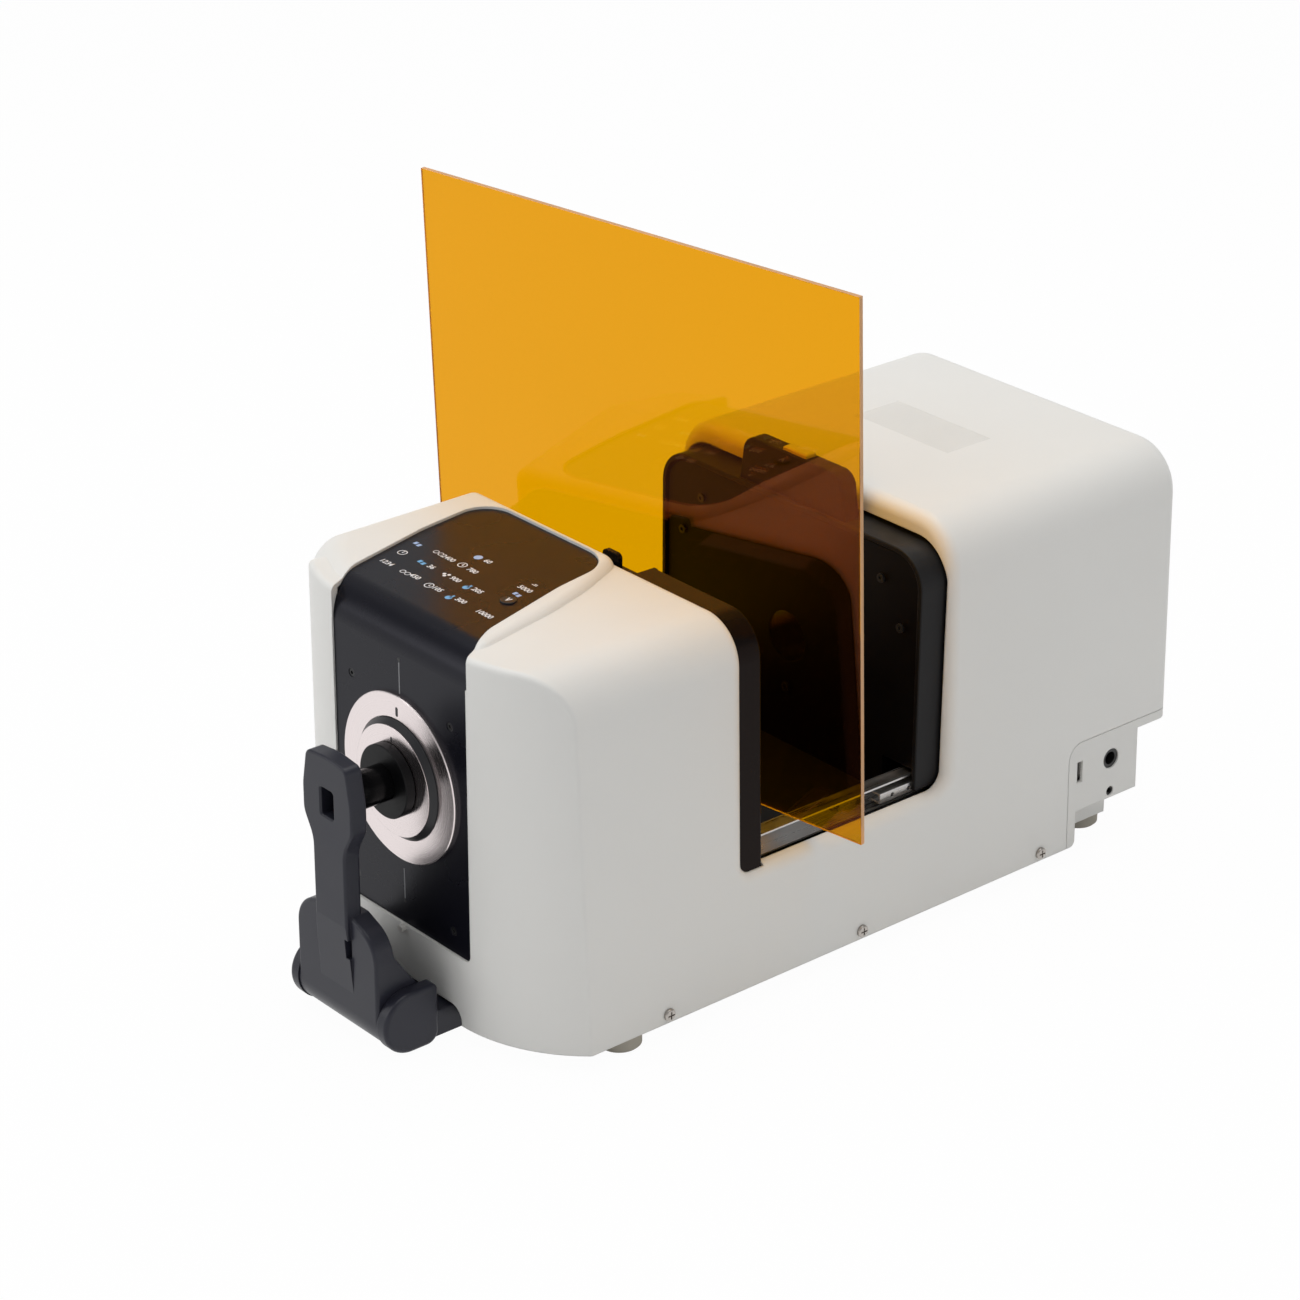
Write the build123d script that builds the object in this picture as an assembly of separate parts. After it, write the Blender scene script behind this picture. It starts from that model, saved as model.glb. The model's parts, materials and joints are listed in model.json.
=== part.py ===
from build123d import *
import math
import os

# Benchtop colorimeter, metric, mm.  +X is the right-hand side seen from the front, the front
# faces -Y, +Z is up.  The origin is the centre of the footprint at desk level.

# ---- driving dimensions -------------------------------------------------------------------
# housing
body_w = 248.0          # over the side faces at their lower edge
body_d = 498.0          # front face to rear face
body_h = 250.0          # desk to the top of the rear block
foot_h = 10.0           # desk to the lower edge of the housing
draft = 0.026           # the sides lean in by this much per mm of height
wall = 3.0              # housing wall
shoulder_round = 3.5    # front edge of the shoulders
back_round = 9.0        # edges round the rear face
rear_round = 30.0       # long top edges of the rear block
front_top = 238.0       # shoulder height at the chamber
front_fall = -2.0       # drop of the shoulder towards the front face (here it rises)
front_round = 28.0      # long top edges of the front block
front_flat = 50.0       # half width of the flat middle of the front face
front_sweep = 35.0      # how far the bowed front runs back at the side
deck_rise = 5.0         # raised deck over the shoulder
deck_round = 6.0
deck_left_round = 9.0
chamber_front = -100.0  # sample chamber, between the two blocks
chamber_rear = 58.0
sill = 84.0             # lower edge of the side openings
opening_round = 8.0     # softened edge round the chamber
sill_round = 5.0        # front lower corner of the side openings
sill_round_rear = 11.0  # and the rear one
deck_skirt = 53.0       # how far the deck's solid reaches down into the housing
under_deck_skirt = 43.0 # and its hollow
seam = 0.25             # gap left along every parting line
touch = 0.02            # clearance of parts that seat in each other
screw_slack = 0.1       # clearance hole round a screw

# front panel, its ring and its button
panel_t = 2.5
panel_recess = 1.5
panel_half = 60.0
panel_low = 53.5
panel_bend = 20.0
panel_screw_x = 44.5
panel_screw_up = 48.0   # screws over and under the optical axis
panel_screw_down = 78.5
panel_head_r = 2.4
panel_shank_r = 1.5
peg_r = 2.2
peg_len = 3.0
ring_r = 50.6
ring_t = 2.4
button_x = 19.3
button_back = 63.0      # from the front face
button_r = 4.7
button_proud = 0.9
button_flange = 1.2
button_travel = 1.0
button_gap = 0.15
switch_h = 5.0
switch_half = 3.0
switch_board_left = 55.0    # board under the button, to its left
switch_board_right = 12.0
switch_board_deep = 20.0
switch_post_in = 5.0    # its posts, in from the left end
switch_post_step = 38.0
switch_post_back = 14.0
switch_post_r = 3.0
board_t = 1.6           # every circuit board

# optics
axis_z = 145.5          # height of the optical axis
tube_r = 33.0
tube_flange_r = 46.0
port_hole_r = 40.0
spigot_r = 29.95
spigot_gap = 0.05
mask_r = 36.0
mask_t = 6.0
mask_rim_t = 2.7        # straight rim, then a cone to the face
mask_front_r = 33.2
mask_face_r = 33.0
mask_face_t = 0.5
aperture_r = 12.7
sphere_r = 64.0
sphere_t = 4.0
sphere_rim = 4.0        # rim of the two sphere halves
sphere_back = 75.0      # centre, from the front face
lamp_port_r = 9.0
lamp_ahead = 24.0       # lamp port, ahead of the sphere centre
window_r = 15.0
window_tube_r = 22.0
glass_t = 2.0
cradle_half = 30.0      # stand under the sphere
cradle_deep = 24.0
cradle_hug = 12.0       # how far it reaches up round the sphere
cradle_wall = 8.0
lamp_half = 22.0
lamp_deep = 14.0
lamp_len = 32.0         # out from the sphere's skin
lamp_set_back = 20.0    # flash tube, out from the sphere's skin
flash_r = 3.0
camera_half = 12.0
camera_len = 28.0
camera_eye_r = 5.0
camera_up = 16.0        # over the optical axis
sphere_join = 3.0       # half thickness of the joined rims
spectro_side = 30.0     # in from the inside of the hood
spectro_wall = 4.0
spectro_top_gap = 12.5  # under the chamber floor
spectro_ahead = 16.0
chip_len = 50.0
chip_deep = 40.0
chip_h = 3.4

# chamber
band_depth = 15.0       # black band in front of the chamber
band_plug = 10.0
band_t = 3.0
catch_half = 7.0
tray_drop = 9.5         # chamber floor, below the sill
tray_t = 1.5
mouth_margin = 3.6      # mouth of the rear block, in from the side face
mouth_drop = 13.0       # and down from the top
mouth_round = 24.0
mouth_gap = 1.5         # hood to mouth, at the sides
mouth_gap_top = 3.0
catch_x = 3.5
catch_rise = 3.5        # catch of the band, over the shoulder
catch_t = 3.0
notch_left = 130.0      # low part of the band behind the deck, from the middle
notch_right = 24.5
notch_drop = 12.0       # below the shoulder
catch_round = 3.0
band_round = 1.2

# hood and its drawer rails
hood_front = 40.0
hood_len = 148.0
hood_t = 3.0
hood_round = 22.0
hood_low = 86.0
hood_gap = 1.5          # hood to the fixed receiver wall
grip_half = 46.0
grip_t = 12.0
grip_h = 28.0
grip_round = 10.0
key_half = 10.0
key_h = 7.5
key_travel = 2.0
rail_over = 10.5        # top of the rails, over the sill
rail_h = 14.0
rail_u = 9.5            # depth of the fixed rail
rail_t = 1.2
rail_stack = 12.0       # fixed rail and moving rail together
rail_tail = 17.0        # fixed rail behind the closed hood
rail_hole_r = 1.3
rail_head_r = 2.8
rail_head_h = 1.5
rail_drive_r = 1.1      # recess for the driver
web_screw_front = 72.0
web_screw_rear = 40.0
slide_len = 170.0
slide_u = 7.6
slide_inset = 3.0       # rear end of the moving rail, ahead of the hood's
slide_hole_pitch = 13.0
slide_holes = 12
slide_hole_in = 10.0    # first hole, from the front end
ball_in = 2.7           # balls, in from the open side of the fixed rail
cage_back = 47.0        # cage, behind the front end of the moving rail
cage_end = 6.0          # first ball, from the end of the cage
ball_r = 1.25
ball_gap = 0.05
cage_len = 84.0
cage_t = 0.6
cage_balls = 7
bracket_t = 1.5
bracket_foot = 13.0
stop_t = 3.0
chain_links = 9
chain_pitch = 5.2
chain_w = 7.2
chain_h = 5.2
chain_wall = 1.2
chain_ahead = 37.0      # first link, ahead of the receiver wall
groove_in = 3.2
groove_w = 1.0

# receiver behind the chamber
receiver_t = 3.0
receiver_round = 18.0
receiver_foot_in = 15.0 # foot of the wall, in from the rails
receiver_step = 3.0     # step of the wall, over the rails
receiver_box_in = 18.0  # box behind the wall, in from the rails
receiver_box_len = 83.0
receiver_box_drop = 11.5    # below the top of the wall
receiver_box_wall = 4.0
wing_half = 8.0         # ears of the box behind the two outer screws
wing_t = 6.0
wing_in = 6.5
screw_in = 13.5         # outer screws of the wall, in from its edge
screw_drop = 45.5       # and down from its top
top_screw_drop = 19.5
low_screw_drop = 33.5   # below the optical axis
wall_screw_r = 1.6
wall_head_r = 2.8
wall_head_h = 1.4
supply_w = 60.0         # power supply
supply_len = 50.0
supply_h = 75.0
supply_wall = 3.0
supply_x = 15.0
board_gap = 6.0         # main board to the power supply
capacitor_r = 17.0
capacitor_h = 65.0
capacitor_x = 50.0
main_board_drop = 50.0  # below the top of the rear block

# base
plate_t = 3.0
bay_len = 88.0          # connector bay of the base, from the rear face
bay_over = 4.5          # top of the bay, over the chamber floor
bay_back = 28.0         # recess of the bay below its rear overhang
bay_floor = 33.0
bay_lip = 7.0
bay_round = 11.0
bay_ledge = 6.0
side_wall = 4.0
tail_in = 20.0          # sides of the base between the rear feet, in from the housing's
arch_half = 52.0        # arch for the holder bracket
arch_top = 21.0
arch_round = 9.0
post_r = 5.0
post_in = 10.0          # posts under the chamber floor, in from the inside of the hood
rear_post_in = 25.0
foot_r = 13.0
foot_in = 15.0          # front feet, in from the side
foot_back = 67.0        # front feet, from the front face
rear_foot_side = 36.0   # rear feet, in from the side
rear_foot_in = 41.0     # rear feet, from the rear face
side_screw_y = [-158.0, -10.0, 138.0]
side_screw_z = 15.5
side_screw_r = 2.0
side_head_r = 3.75
side_head_h = 2.2
side_head_round = 1.4
cross_half = 2.4        # cross slot
cross_w = 0.9
tab_half = 7.0
tab_t = 4.0
vent_count = 11
vent_pitch = 9.0
vent_w = 3.2
vent_drop = 35.0        # below the top of the rear block
vent_len = 35.0
socket_in = 51.0        # round sockets, from the rear face
jack_z = 59.5
jack_r = 6.5
jack_bore_r = 4.2
trigger_z = 37.5
trigger_r = 3.0
usb_in = 78.25
usb_z = 59.0
usb_w = 4.5
usb_h = 14.0
usb_lining = 0.6
usb_tongue = 4.5

# specimen holder
hinge_ahead = 29.0      # hinge axis, ahead of the front face
hinge_z = 20.0
knuckle_r = 18.8
knuckle_w = 8.0
knuckle_back = 18.5     # flat rear of the knuckles, behind the hinge axis
knuckle_round = 2.5
knuckle_skin = 1.5      # closed outer end of the pin's bore
bar_low = 3.0
tongue_half = 38.0
tongue_reach = 44.0     # tongue under the base, behind the front wall
bracket_screw_r = 1.9
bracket_head_r = 3.6
bracket_head_h = 2.2
bracket_screw_x = 28.0
bracket_screw_in = [14.0, 34.0]
holder_half = 37.0
holder_gap = 0.3        # arm to knuckles
barrel_r = 18.0
arm_t = 11.0
arm_proud = 3.0         # arm's face, ahead of the barrel
arm_waist = 14.5
arm_head = 22.5
arm_tip = 18.5
arm_over = 29.5         # top of the arm, over the optical axis
arm_edge = 1.5
arm_fade = 54.0         # over the hinge, where the face starts to lean back to the barrel
arm_shoulder = 51.0     # top of the base's sides, over the hinge
arm_neck = 60.0         # where the arm leaves the base, over the hinge
base_t = 12.5
shoulder_bend = 20.0
base_edge = 2.0
arm_window_half = 5.8
arm_window_low = 7.7    # below the optical axis
arm_window_high = 9.0   # over it
arm_window_lip = 1.0
slot_x = 11.5
slot_w = 3.5
slot_low = 34.0         # over the hinge
slot_h = 12.0
pin_r = 4.0
pin_gap = 0.05
presser_r = 10.8
presser_up = 1.4        # over the optical axis
pad_r = 21.7
pad_t = 6.1
pad_gap = 0.3

# sample sheet
sheet_w = 323.0
sheet_h = 332.0
sheet_t = 3.0
sheet_left = 168.0      # width to the left of the centre line
sheet_yaw = 8.0
sheet_lean = 2.7
sheet_gap = 0.3

# ---- places that follow from them ---------------------------------------------------------
y_front = -body_d / 2
y_rear = body_d / 2
far = 400.0             # longer than the instrument, for cutting blocks
deck_top = front_top + deck_rise
deck_rear = chamber_front - 3
panel_y = y_front + panel_recess            # outer skin of the front panel
panel_z = deck_top - panel_recess           # outer skin of the icon panel
panel_back_y = panel_y + panel_t
panel_back_z = panel_z - panel_t
panel_screws = [(x, axis_z + dz) for x in (-panel_screw_x, panel_screw_x)
                for dz in (panel_screw_up, -panel_screw_down)]
inner_front_y = panel_back_y + wall         # inside of the front wall
button_y = y_front + button_back
peg_z = panel_low - peg_r - 0.3
sphere_y = y_front + sphere_back
sphere_out = sphere_r + sphere_t
deck_z = sill - tray_drop                   # top of the chamber floor tray
band_front = chamber_front - band_plug
band_rear = chamber_front + band_depth
fit = wall + seam                           # parts that lie inside the housing wall
mouth_top = body_h - mouth_drop
mouth_half = body_w / 2 - draft * (mouth_top - foot_h) - mouth_margin
hood_half = mouth_half - mouth_gap
hood_top = mouth_top - mouth_gap_top
hood_inner = hood_half - hood_t
hood_rear = hood_front + hood_len
rail_x = hood_inner - rail_stack            # web of the fixed rail
rail_top = sill + rail_over
rail_mid = rail_top - rail_h / 2
rail_front = band_rear + stop_t + 2 * touch
rail_rear = hood_rear + rail_tail
rail_screw_y = [rail_front + web_screw_front, rail_rear - web_screw_rear]
receiver_y = hood_front + 2.0
receiver_half = hood_inner - hood_gap
receiver_top = hood_top - hood_t - hood_gap
receiver_box_half = rail_x - receiver_box_in
wing_z = receiver_top - screw_drop
top_screw_x = receiver_box_half - 2
top_screw_z = receiver_top - top_screw_drop
outer_screw_x = receiver_half - screw_in
receiver_screws = [(-top_screw_x, top_screw_z), (top_screw_x, top_screw_z),
                   (-outer_screw_x, wing_z), (outer_screw_x, wing_z), (0.0, axis_z - low_screw_drop)]
bay_y = y_rear - bay_len
bay_rear = y_rear - bay_back
bay_top = deck_z + bay_over
plate_top = foot_h + plate_t
tail_rear = bay_rear - 6
tail_half = body_w / 2 - tail_in
board_y = hood_rear + 8
vent_high = body_h - vent_drop
vent_low = vent_high - vent_len
post_spots = [(hood_inner - post_in, chamber_front + 25), (hood_inner - post_in, hood_front),
              (hood_inner - rear_post_in, bay_y - 11)]
socket_y = y_rear - socket_in
usb_y = y_rear - usb_in
hinge_y = y_front - hinge_ahead
base_front = hinge_y - barrel_r
arm_front = base_front - arm_proud
arm_back = arm_front + arm_t
arm_top = axis_z + arm_over
mask_back = panel_y - 0.1
mask_front = mask_back - mask_t
mask_face = mask_front - mask_face_t
pad_rear = mask_face - pad_gap
pad_front = pad_rear - pad_t

nodes = {}


# ---- helpers ------------------------------------------------------------------------------
def half_w(z):
    return body_w / 2 - draft * (z - foot_h)


def outline(plane, corners):
    # corners are (a, b, radius) in the plane
    face = make_face(Polyline(*[(a, b) for a, b, r in corners], close=True))
    for a, b, r in corners:
        if r > 0:
            face = fillet(face.vertices().sort_by_distance((a, b, 0))[0], r)
    return plane * face


def plane_xz(y):
    return Plane(origin=(0, y, 0), x_dir=(1, 0, 0), z_dir=(0, -1, 0))


def slab_xz(corners, y_from, y_to):
    return extrude(outline(plane_xz(y_from), corners), amount=-(y_to - y_from))


def slab_yz(corners, x_from, x_to):
    plane = Plane(origin=(x_from, 0, 0), x_dir=(0, 1, 0), z_dir=(1, 0, 0))
    return extrude(outline(plane, corners), amount=x_to - x_from)


def slab_xy(corners, z_from, z_to):
    return extrude(outline(Plane.XY.offset(z_from), corners), amount=z_to - z_from)


def block(x_from, x_to, y_from, y_to, z_from, z_to):
    mid = ((x_from + x_to) / 2, (y_from + y_to) / 2, (z_from + z_to) / 2)
    return Pos(*mid) * Box(abs(x_to - x_from), abs(y_to - y_from), abs(z_to - z_from))


def rod_x(y, z, radius, x_from, x_to):
    return Pos((x_from + x_to) / 2, y, z) * Rot(0, 90, 0) * Cylinder(radius, abs(x_to - x_from))


def rod_y(x, z, radius, y_from, y_to):
    return Pos(x, (y_from + y_to) / 2, z) * Rot(90, 0, 0) * Cylinder(radius, abs(y_to - y_from))


def rod_z(x, y, radius, z_from, z_to):
    return Pos(x, y, (z_from + z_to) / 2) * Cylinder(radius, abs(z_to - z_from))


def mirrored(shape):
    return mirror(shape, about=Plane.YZ)


def group(shapes):
    return Compound([solid for shape in shapes for solid in shape.solids()])


def edges_where(shape, test):
    found = []
    for edge in shape.edges():
        spots = [edge.position_at(t) for t in (0, 0.25, 0.5, 0.75, 1)]
        if all(test(p.X, p.Y, p.Z) for p in spots):
            found.append(edge)
    return found


def rim_edges(shape, y, side):
    # round edges in the plane y; side -1 gives the innermost, +1 the outermost
    rings = [e for e in shape.edges().filter_by(GeomType.CIRCLE) if abs(e.center().Y - y) < 0.01]
    return sorted(rings, key=lambda e: side * e.radius)[-1:]


def on_side(x, z):
    return abs(abs(x) - half_w(z)) < 0.6


def housing_section(low, top, inset, radius):
    # drafted outline across the housing, seen from the front
    return [
        (-(half_w(low) - inset), low, 0),
        (half_w(low) - inset, low, 0),
        (half_w(top) - inset, top - inset, radius - inset if radius > 0 else 0),
        (-(half_w(top) - inset), top - inset, radius - inset if radius > 0 else 0),
    ]


def plan_prism(inset, z_from, z_to):
    # bowed front, square rear
    w = body_w / 2 - inset
    yf = y_front + inset
    yc = y_front + front_sweep + inset
    yr = y_rear - inset
    run = w - front_flat
    bow = (run ** 2 + front_sweep ** 2) / (2 * front_sweep)
    half_angle = math.asin(run / bow) / 2
    mx = front_flat + bow * math.sin(half_angle)
    my = yf + bow * (1 - math.cos(half_angle))
    edge = [
        Line((-front_flat, yf), (front_flat, yf)),
        ThreePointArc((front_flat, yf), (mx, my), (w, yc)),
        Line((w, yc), (w, yr)),
        Line((w, yr), (-w, yr)),
        Line((-w, yr), (-w, yc)),
        ThreePointArc((-w, yc), (-mx, my), (-front_flat, yf)),
    ]
    return extrude(Plane.XY.offset(z_from) * make_face(edge), amount=z_to - z_from)


def front_loft(inset, y_from, y_to):
    # the shoulders of the front block fall towards the front
    slope = front_fall / (chamber_front - (y_front + front_sweep))
    ends = []
    for y in (y_from, y_to):
        top = front_top + slope * (y - chamber_front)
        ends.append(plane_xz(y) * outline(Plane.XY, housing_section(foot_h, top, inset, front_round)))
    return loft(ends)


# ---- outer cover --------------------------------------------------------------------------
deck_plan = [(-far, y_front - 20, 0), (panel_half + 8, y_front - 20, 0), (panel_half + 2, y_front + 3, 30),
             (panel_half - 8, y_front + 41, 150), (panel_half - 17, y_front + 77, 150),
             (32, chamber_front - 40, 150), (14, deck_rear, 14), (-far, deck_rear, 0)]
panel_plan = [(-56.5, y_front - 5, 0), (64.3, y_front - 5, 0), (43.5, y_front + 29.5, 40),
              (24.8, y_front + 94, 80), (16.5, chamber_front - 9.3, 26), (-96.5, chamber_front - 9.3, 18),
              (-88.5, y_front + 86, 120), (-72.5, y_front + 26, 40)]


def housing_outer():
    front = front_loft(0, y_front - 10, chamber_front + 20)
    low = slab_xz(housing_section(foot_h, sill + 30, 0, 0), y_front - 10, y_rear + 5)
    rear = slab_xz(housing_section(foot_h, body_h, 0, rear_round), chamber_rear - 15, y_rear + 5)
    notch = slab_yz([(chamber_front, sill, sill_round), (chamber_rear, sill, sill_round_rear),
                     (chamber_rear, far, 0), (chamber_front, far, 0)], -far, far)
    body = ((front + low + rear) & plan_prism(0, foot_h, far)) - notch
    nose = edges_where(body, lambda x, y, z: y < y_front + front_sweep + 3 and z > foot_h - 1
                       and (z > front_top - 43 or on_side(x, z)))
    body = fillet([e for e in nose if e.bounding_box().max.Z > foot_h + 1], shoulder_round)
    back = edges_where(body, lambda x, y, z: y > y_rear - 0.01)
    body = fillet([e for e in back if e.bounding_box().max.Z > foot_h + 1], back_round)
    rim = edges_where(body, lambda x, y, z: chamber_front - 0.01 <= y <= chamber_rear + 0.01
                      and z >= sill - 0.01 and (on_side(x, z) or z > front_top - 38))
    return fillet(rim, opening_round)


def bent_block(inset):
    # block under the deck whose top bends down into the bowed front face
    low = deck_top - deck_skirt
    bent = block(-far, far, y_front - 10, chamber_front + 10, low, deck_top - inset)
    bent = bent & plan_prism(inset, 0, far)
    nose = edges_where(bent, lambda x, y, z: z > deck_top - inset - 0.01
                       and y < y_front + front_sweep + inset + 0.01)
    return fillet(nose, panel_bend + panel_recess - inset)


def deck_outer():
    # raised deck that carries the icon panel; it fades into the left side
    low = deck_top - deck_skirt
    corners = [(-half_w(low), low, 0), (half_w(low), low, 0), (half_w(deck_top), deck_top, 0),
               (-half_w(deck_top), deck_top, deck_left_round)]
    strip = slab_xz(corners, y_front - 10, chamber_front + 10)
    deck = bent_block(0) & strip & slab_xy(deck_plan, low, deck_top + 20)
    left = -half_w(deck_top) + deck_left_round
    rim = edges_where(deck, lambda x, y, z: z > deck_top - 0.01 and (x > left + 1 or y > deck_rear - 0.01)
                      and y > y_front + panel_bend + panel_recess + 0.1)
    return fillet(rim, deck_round)


def panel_shape(grow, skin_y, skin_z, back_y, back_z, bend, inner_bend):
    # bent strip between two skins, cut to the outline of the panel
    strip = slab_yz([(skin_y, panel_low - grow, 0), (back_y, panel_low - grow, 0),
                     (back_y, back_z, inner_bend), (chamber_front, back_z, 0),
                     (chamber_front, skin_z, 0), (skin_y, skin_z, bend)], -body_w / 2, body_w / 2)
    turn = deck_top - panel_recess - panel_bend
    face_low = outline(Plane.XY, [(-panel_half, panel_low, 4), (panel_half, panel_low, 4),
                                  (panel_half, turn, 0), (-panel_half, turn, 0)])
    face_top = outline(Plane.XY, panel_plan)
    if grow > 0:
        face_low = offset(face_low, grow)
        face_top = offset(face_top, grow)
    front = extrude(plane_xz(y_front - 20) * face_low, amount=-40)
    top = extrude(Plane.XY.offset(turn) * face_top, amount=60)
    return strip & (front + top)


def housing_inside():
    hollow = front_loft(wall, y_front, chamber_front + 5)
    low = slab_xz(housing_section(foot_h - 5, sill + wall + 2, wall, 0), y_front, y_rear - wall)
    for left, right in ((-far, -mouth_half), (mouth_half, far)):
        # solid lip under the rounded edge of the side openings
        low = low - block(left, right, band_rear + 1, chamber_rear + wall, deck_z + seam, far)
    hollow = hollow + low
    hollow = hollow & plan_prism(wall, 0, far) & block(-far, far, inner_front_y, far, 0, far)
    hollow = hollow + slab_xz(housing_section(sill, body_h, wall, rear_round), chamber_rear + wall,
                              y_rear - wall)
    under_deck = offset(outline(Plane.XY, deck_plan), -wall - 1)
    under_low = deck_top - under_deck_skirt
    under_deck = extrude(Plane.XY.offset(under_low) * under_deck, amount=panel_back_z - wall - under_low)
    under_deck = under_deck & block(-half_w(deck_top) + deck_left_round, far, inner_front_y,
                                    band_front, under_low, far)
    return hollow + (under_deck & bent_block(panel_recess + panel_t + wall))


def rear_vents():
    slots = []
    for i in range(vent_count):
        x = (i - (vent_count - 1) / 2) * vent_pitch
        left, right, r = x - vent_w / 2, x + vent_w / 2, vent_w / 2.1
        slots.append(slab_xz([(left, vent_low, r), (right, vent_low, r), (right, vent_high, r),
                              (left, vent_high, r)], y_rear - wall - 1, y_rear + 1))
    return slots


def make_cover():
    mouth = slab_xz([(-mouth_half, deck_z, 0), (mouth_half, deck_z, 0), (mouth_half, mouth_top, mouth_round),
                     (-mouth_half, mouth_top, mouth_round)], chamber_rear - 20, chamber_rear + wall + 1)
    arch = slab_xz([(-arch_half, 0, 0), (arch_half, 0, 0), (arch_half, arch_top, arch_round),
                    (-arch_half, arch_top, arch_round)], y_front - 20, inner_front_y + 1)
    bay_gap = slab_yz([(bay_y, -10, 0), (far, -10, 0), (far, bay_top, 0), (bay_y, bay_top, bay_round)],
                      -far, far)
    panel_seat = panel_shape(seam, y_front - 20, deck_top + 20, panel_back_y + touch, panel_back_z - touch,
                             0, panel_bend - panel_t)
    cover = housing_outer() + deck_outer() - housing_inside() - mouth - arch - bay_gap - panel_seat
    cover = cover - rod_y(0, axis_z, port_hole_r, y_front - 5, inner_front_y + 1)
    cover = cover - rod_z(button_x, button_y, button_r + button_flange + 0.6, panel_back_z - wall - 1,
                          panel_back_z + 1)
    cover = cover - rod_y(0, peg_z, panel_shank_r + touch, y_front - 1, inner_front_y + 1)
    for x, z in panel_screws:
        cover = cover - rod_y(x, z, panel_shank_r + touch, panel_y, inner_front_y + 1)
    for side in (-1, 1):
        for y in side_screw_y:
            cover = cover - rod_x(y, side_screw_z, side_screw_r + screw_slack, side * (body_w / 2 - 14),
                                  side * (body_w / 2 + 6))
    for slot in rear_vents():
        cover = cover - slot
    return cover


nodes["outer_cover"] = make_cover()


# ---- base and what is fastened to it ------------------------------------------------------
bay_inner = half_w(bay_top) - side_wall     # inside of the bay's side walls
tab_x = half_w(side_screw_z) - fit - 0.15   # outer face of the screw tabs


def make_chassis():
    plate = plan_prism(fit + 0.1, foot_h, plate_top) & block(-far, far, inner_front_y + 1, bay_y, 0, 50)
    tail = block(-tail_half, tail_half, bay_y - 10, tail_rear, foot_h, bay_floor + plate_t)
    tail = tail - block(-tail_half + plate_t, tail_half - plate_t, bay_y - 11, tail_rear - plate_t,
                        plate_top, far)
    tail = tail - block(-far, far, bay_y - 20, bay_y + bay_lip, plate_top, far)
    lip_y = bay_y + bay_lip
    bay = slab_xz(housing_section(foot_h - 5, bay_top, 0, 0), bay_y + seam, y_rear)
    bay = bay & slab_yz([(bay_y + seam, foot_h, 0), (lip_y, foot_h, 4), (lip_y, bay_floor, 0),
                         (bay_rear, bay_floor, 0), (bay_rear, bay_top - bay_ledge, 0),
                         (y_rear, bay_top - bay_ledge, 0), (y_rear, bay_top - seam, 0),
                         (bay_y + seam, bay_top - seam, bay_round - seam)], -far, far)
    corners = edges_where(bay, lambda x, y, z: y > y_rear - 0.01 and abs(x) > bay_inner)
    bay = fillet([e for e in corners if e.bounding_box().size.Z > 3], back_round)
    shelf_top = bay_floor + plate_t
    bay = bay - block(-bay_inner, bay_inner, bay_y - 1, bay_rear - plate_t, shelf_top, far)
    bay = bay - block(-bay_inner, bay_inner, bay_rear - 10, y_rear - side_wall, bay_top - 3, far)
    bay = bay - block(-bay_inner, bay_inner, bay_y - 1, lip_y + 1, 0, shelf_top + 1)
    bay = bay - block(-tail_half + plate_t, tail_half - plate_t, bay_y, tail_rear - plate_t, 0, far)
    chassis = plate + tail + bay
    for side in (-1, 1):
        for y in side_screw_y:
            chassis = chassis + block(side * (tab_x - tab_t), side * tab_x, y - tab_half, y + tab_half,
                                      foot_h + 1, side_screw_z + tab_half)
            chassis = chassis - rod_x(y, side_screw_z, side_screw_r + touch, side * (tab_x - tab_t - 1),
                                      side * (tab_x + 1))
        for x, y in post_spots:
            chassis = chassis + rod_z(side * x, y, post_r, plate_top - 1, deck_z - tray_t)
    chassis = chassis - rod_x(socket_y, jack_z, jack_r, bay_inner - 5, body_w / 2 + 6)
    chassis = chassis - rod_x(socket_y, trigger_z, trigger_r, bay_inner - 5, body_w / 2 + 6)
    chassis = chassis - block(bay_inner - 5, body_w / 2 + 6, usb_y - usb_w / 2, usb_y + usb_w / 2,
                              usb_z - usb_h / 2, usb_z + usb_h / 2)
    for x, y in bracket_screws:
        chassis = chassis - rod_z(x, y, bracket_screw_r + touch, foot_h - 1, plate_top + 1)
    return chassis


def round_socket(z, outer_r, bore_r, depth, sink, half_y, low, high):
    # a body behind the wall and a round collar through it
    seat = bay_inner - touch
    socket = rod_x(socket_y, z, outer_r - touch, seat - 1, half_w(z) - sink)
    socket = socket + block(seat - depth, seat, socket_y - half_y, socket_y + half_y, z - low, z + high)
    return socket - rod_x(socket_y, z, bore_r, seat - depth + 2, body_w / 2 + 6)


def power_socket():
    centre_pin = rod_x(socket_y, jack_z, 1.0, bay_inner - 11, bay_inner - 1)
    return round_socket(jack_z, jack_r, jack_bore_r, 12, 0.8, 8, 8, 8) + centre_pin


def usb_socket():
    out = half_w(usb_z) - 1.0
    half_y = usb_w / 2 - touch
    half_z = usb_h / 2 - touch
    lining = usb_lining
    socket = block(bay_inner - 12, out, usb_y - half_y, usb_y + half_y, usb_z - half_z, usb_z + half_z)
    socket = socket - block(bay_inner - 10, out + 1, usb_y - half_y + lining, usb_y + half_y - lining,
                            usb_z - half_z + lining, usb_z + half_z - lining)
    return socket + block(bay_inner - 11, bay_inner + 1, usb_y - 0.5, usb_y + 0.5, usb_z - usb_tongue,
                          usb_z + usb_tongue)


def foot(x, y):
    body = rod_z(x, y, foot_r, 0, foot_h)
    return chamfer(body.edges().group_by(Axis.Z)[0], 1.2)


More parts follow.
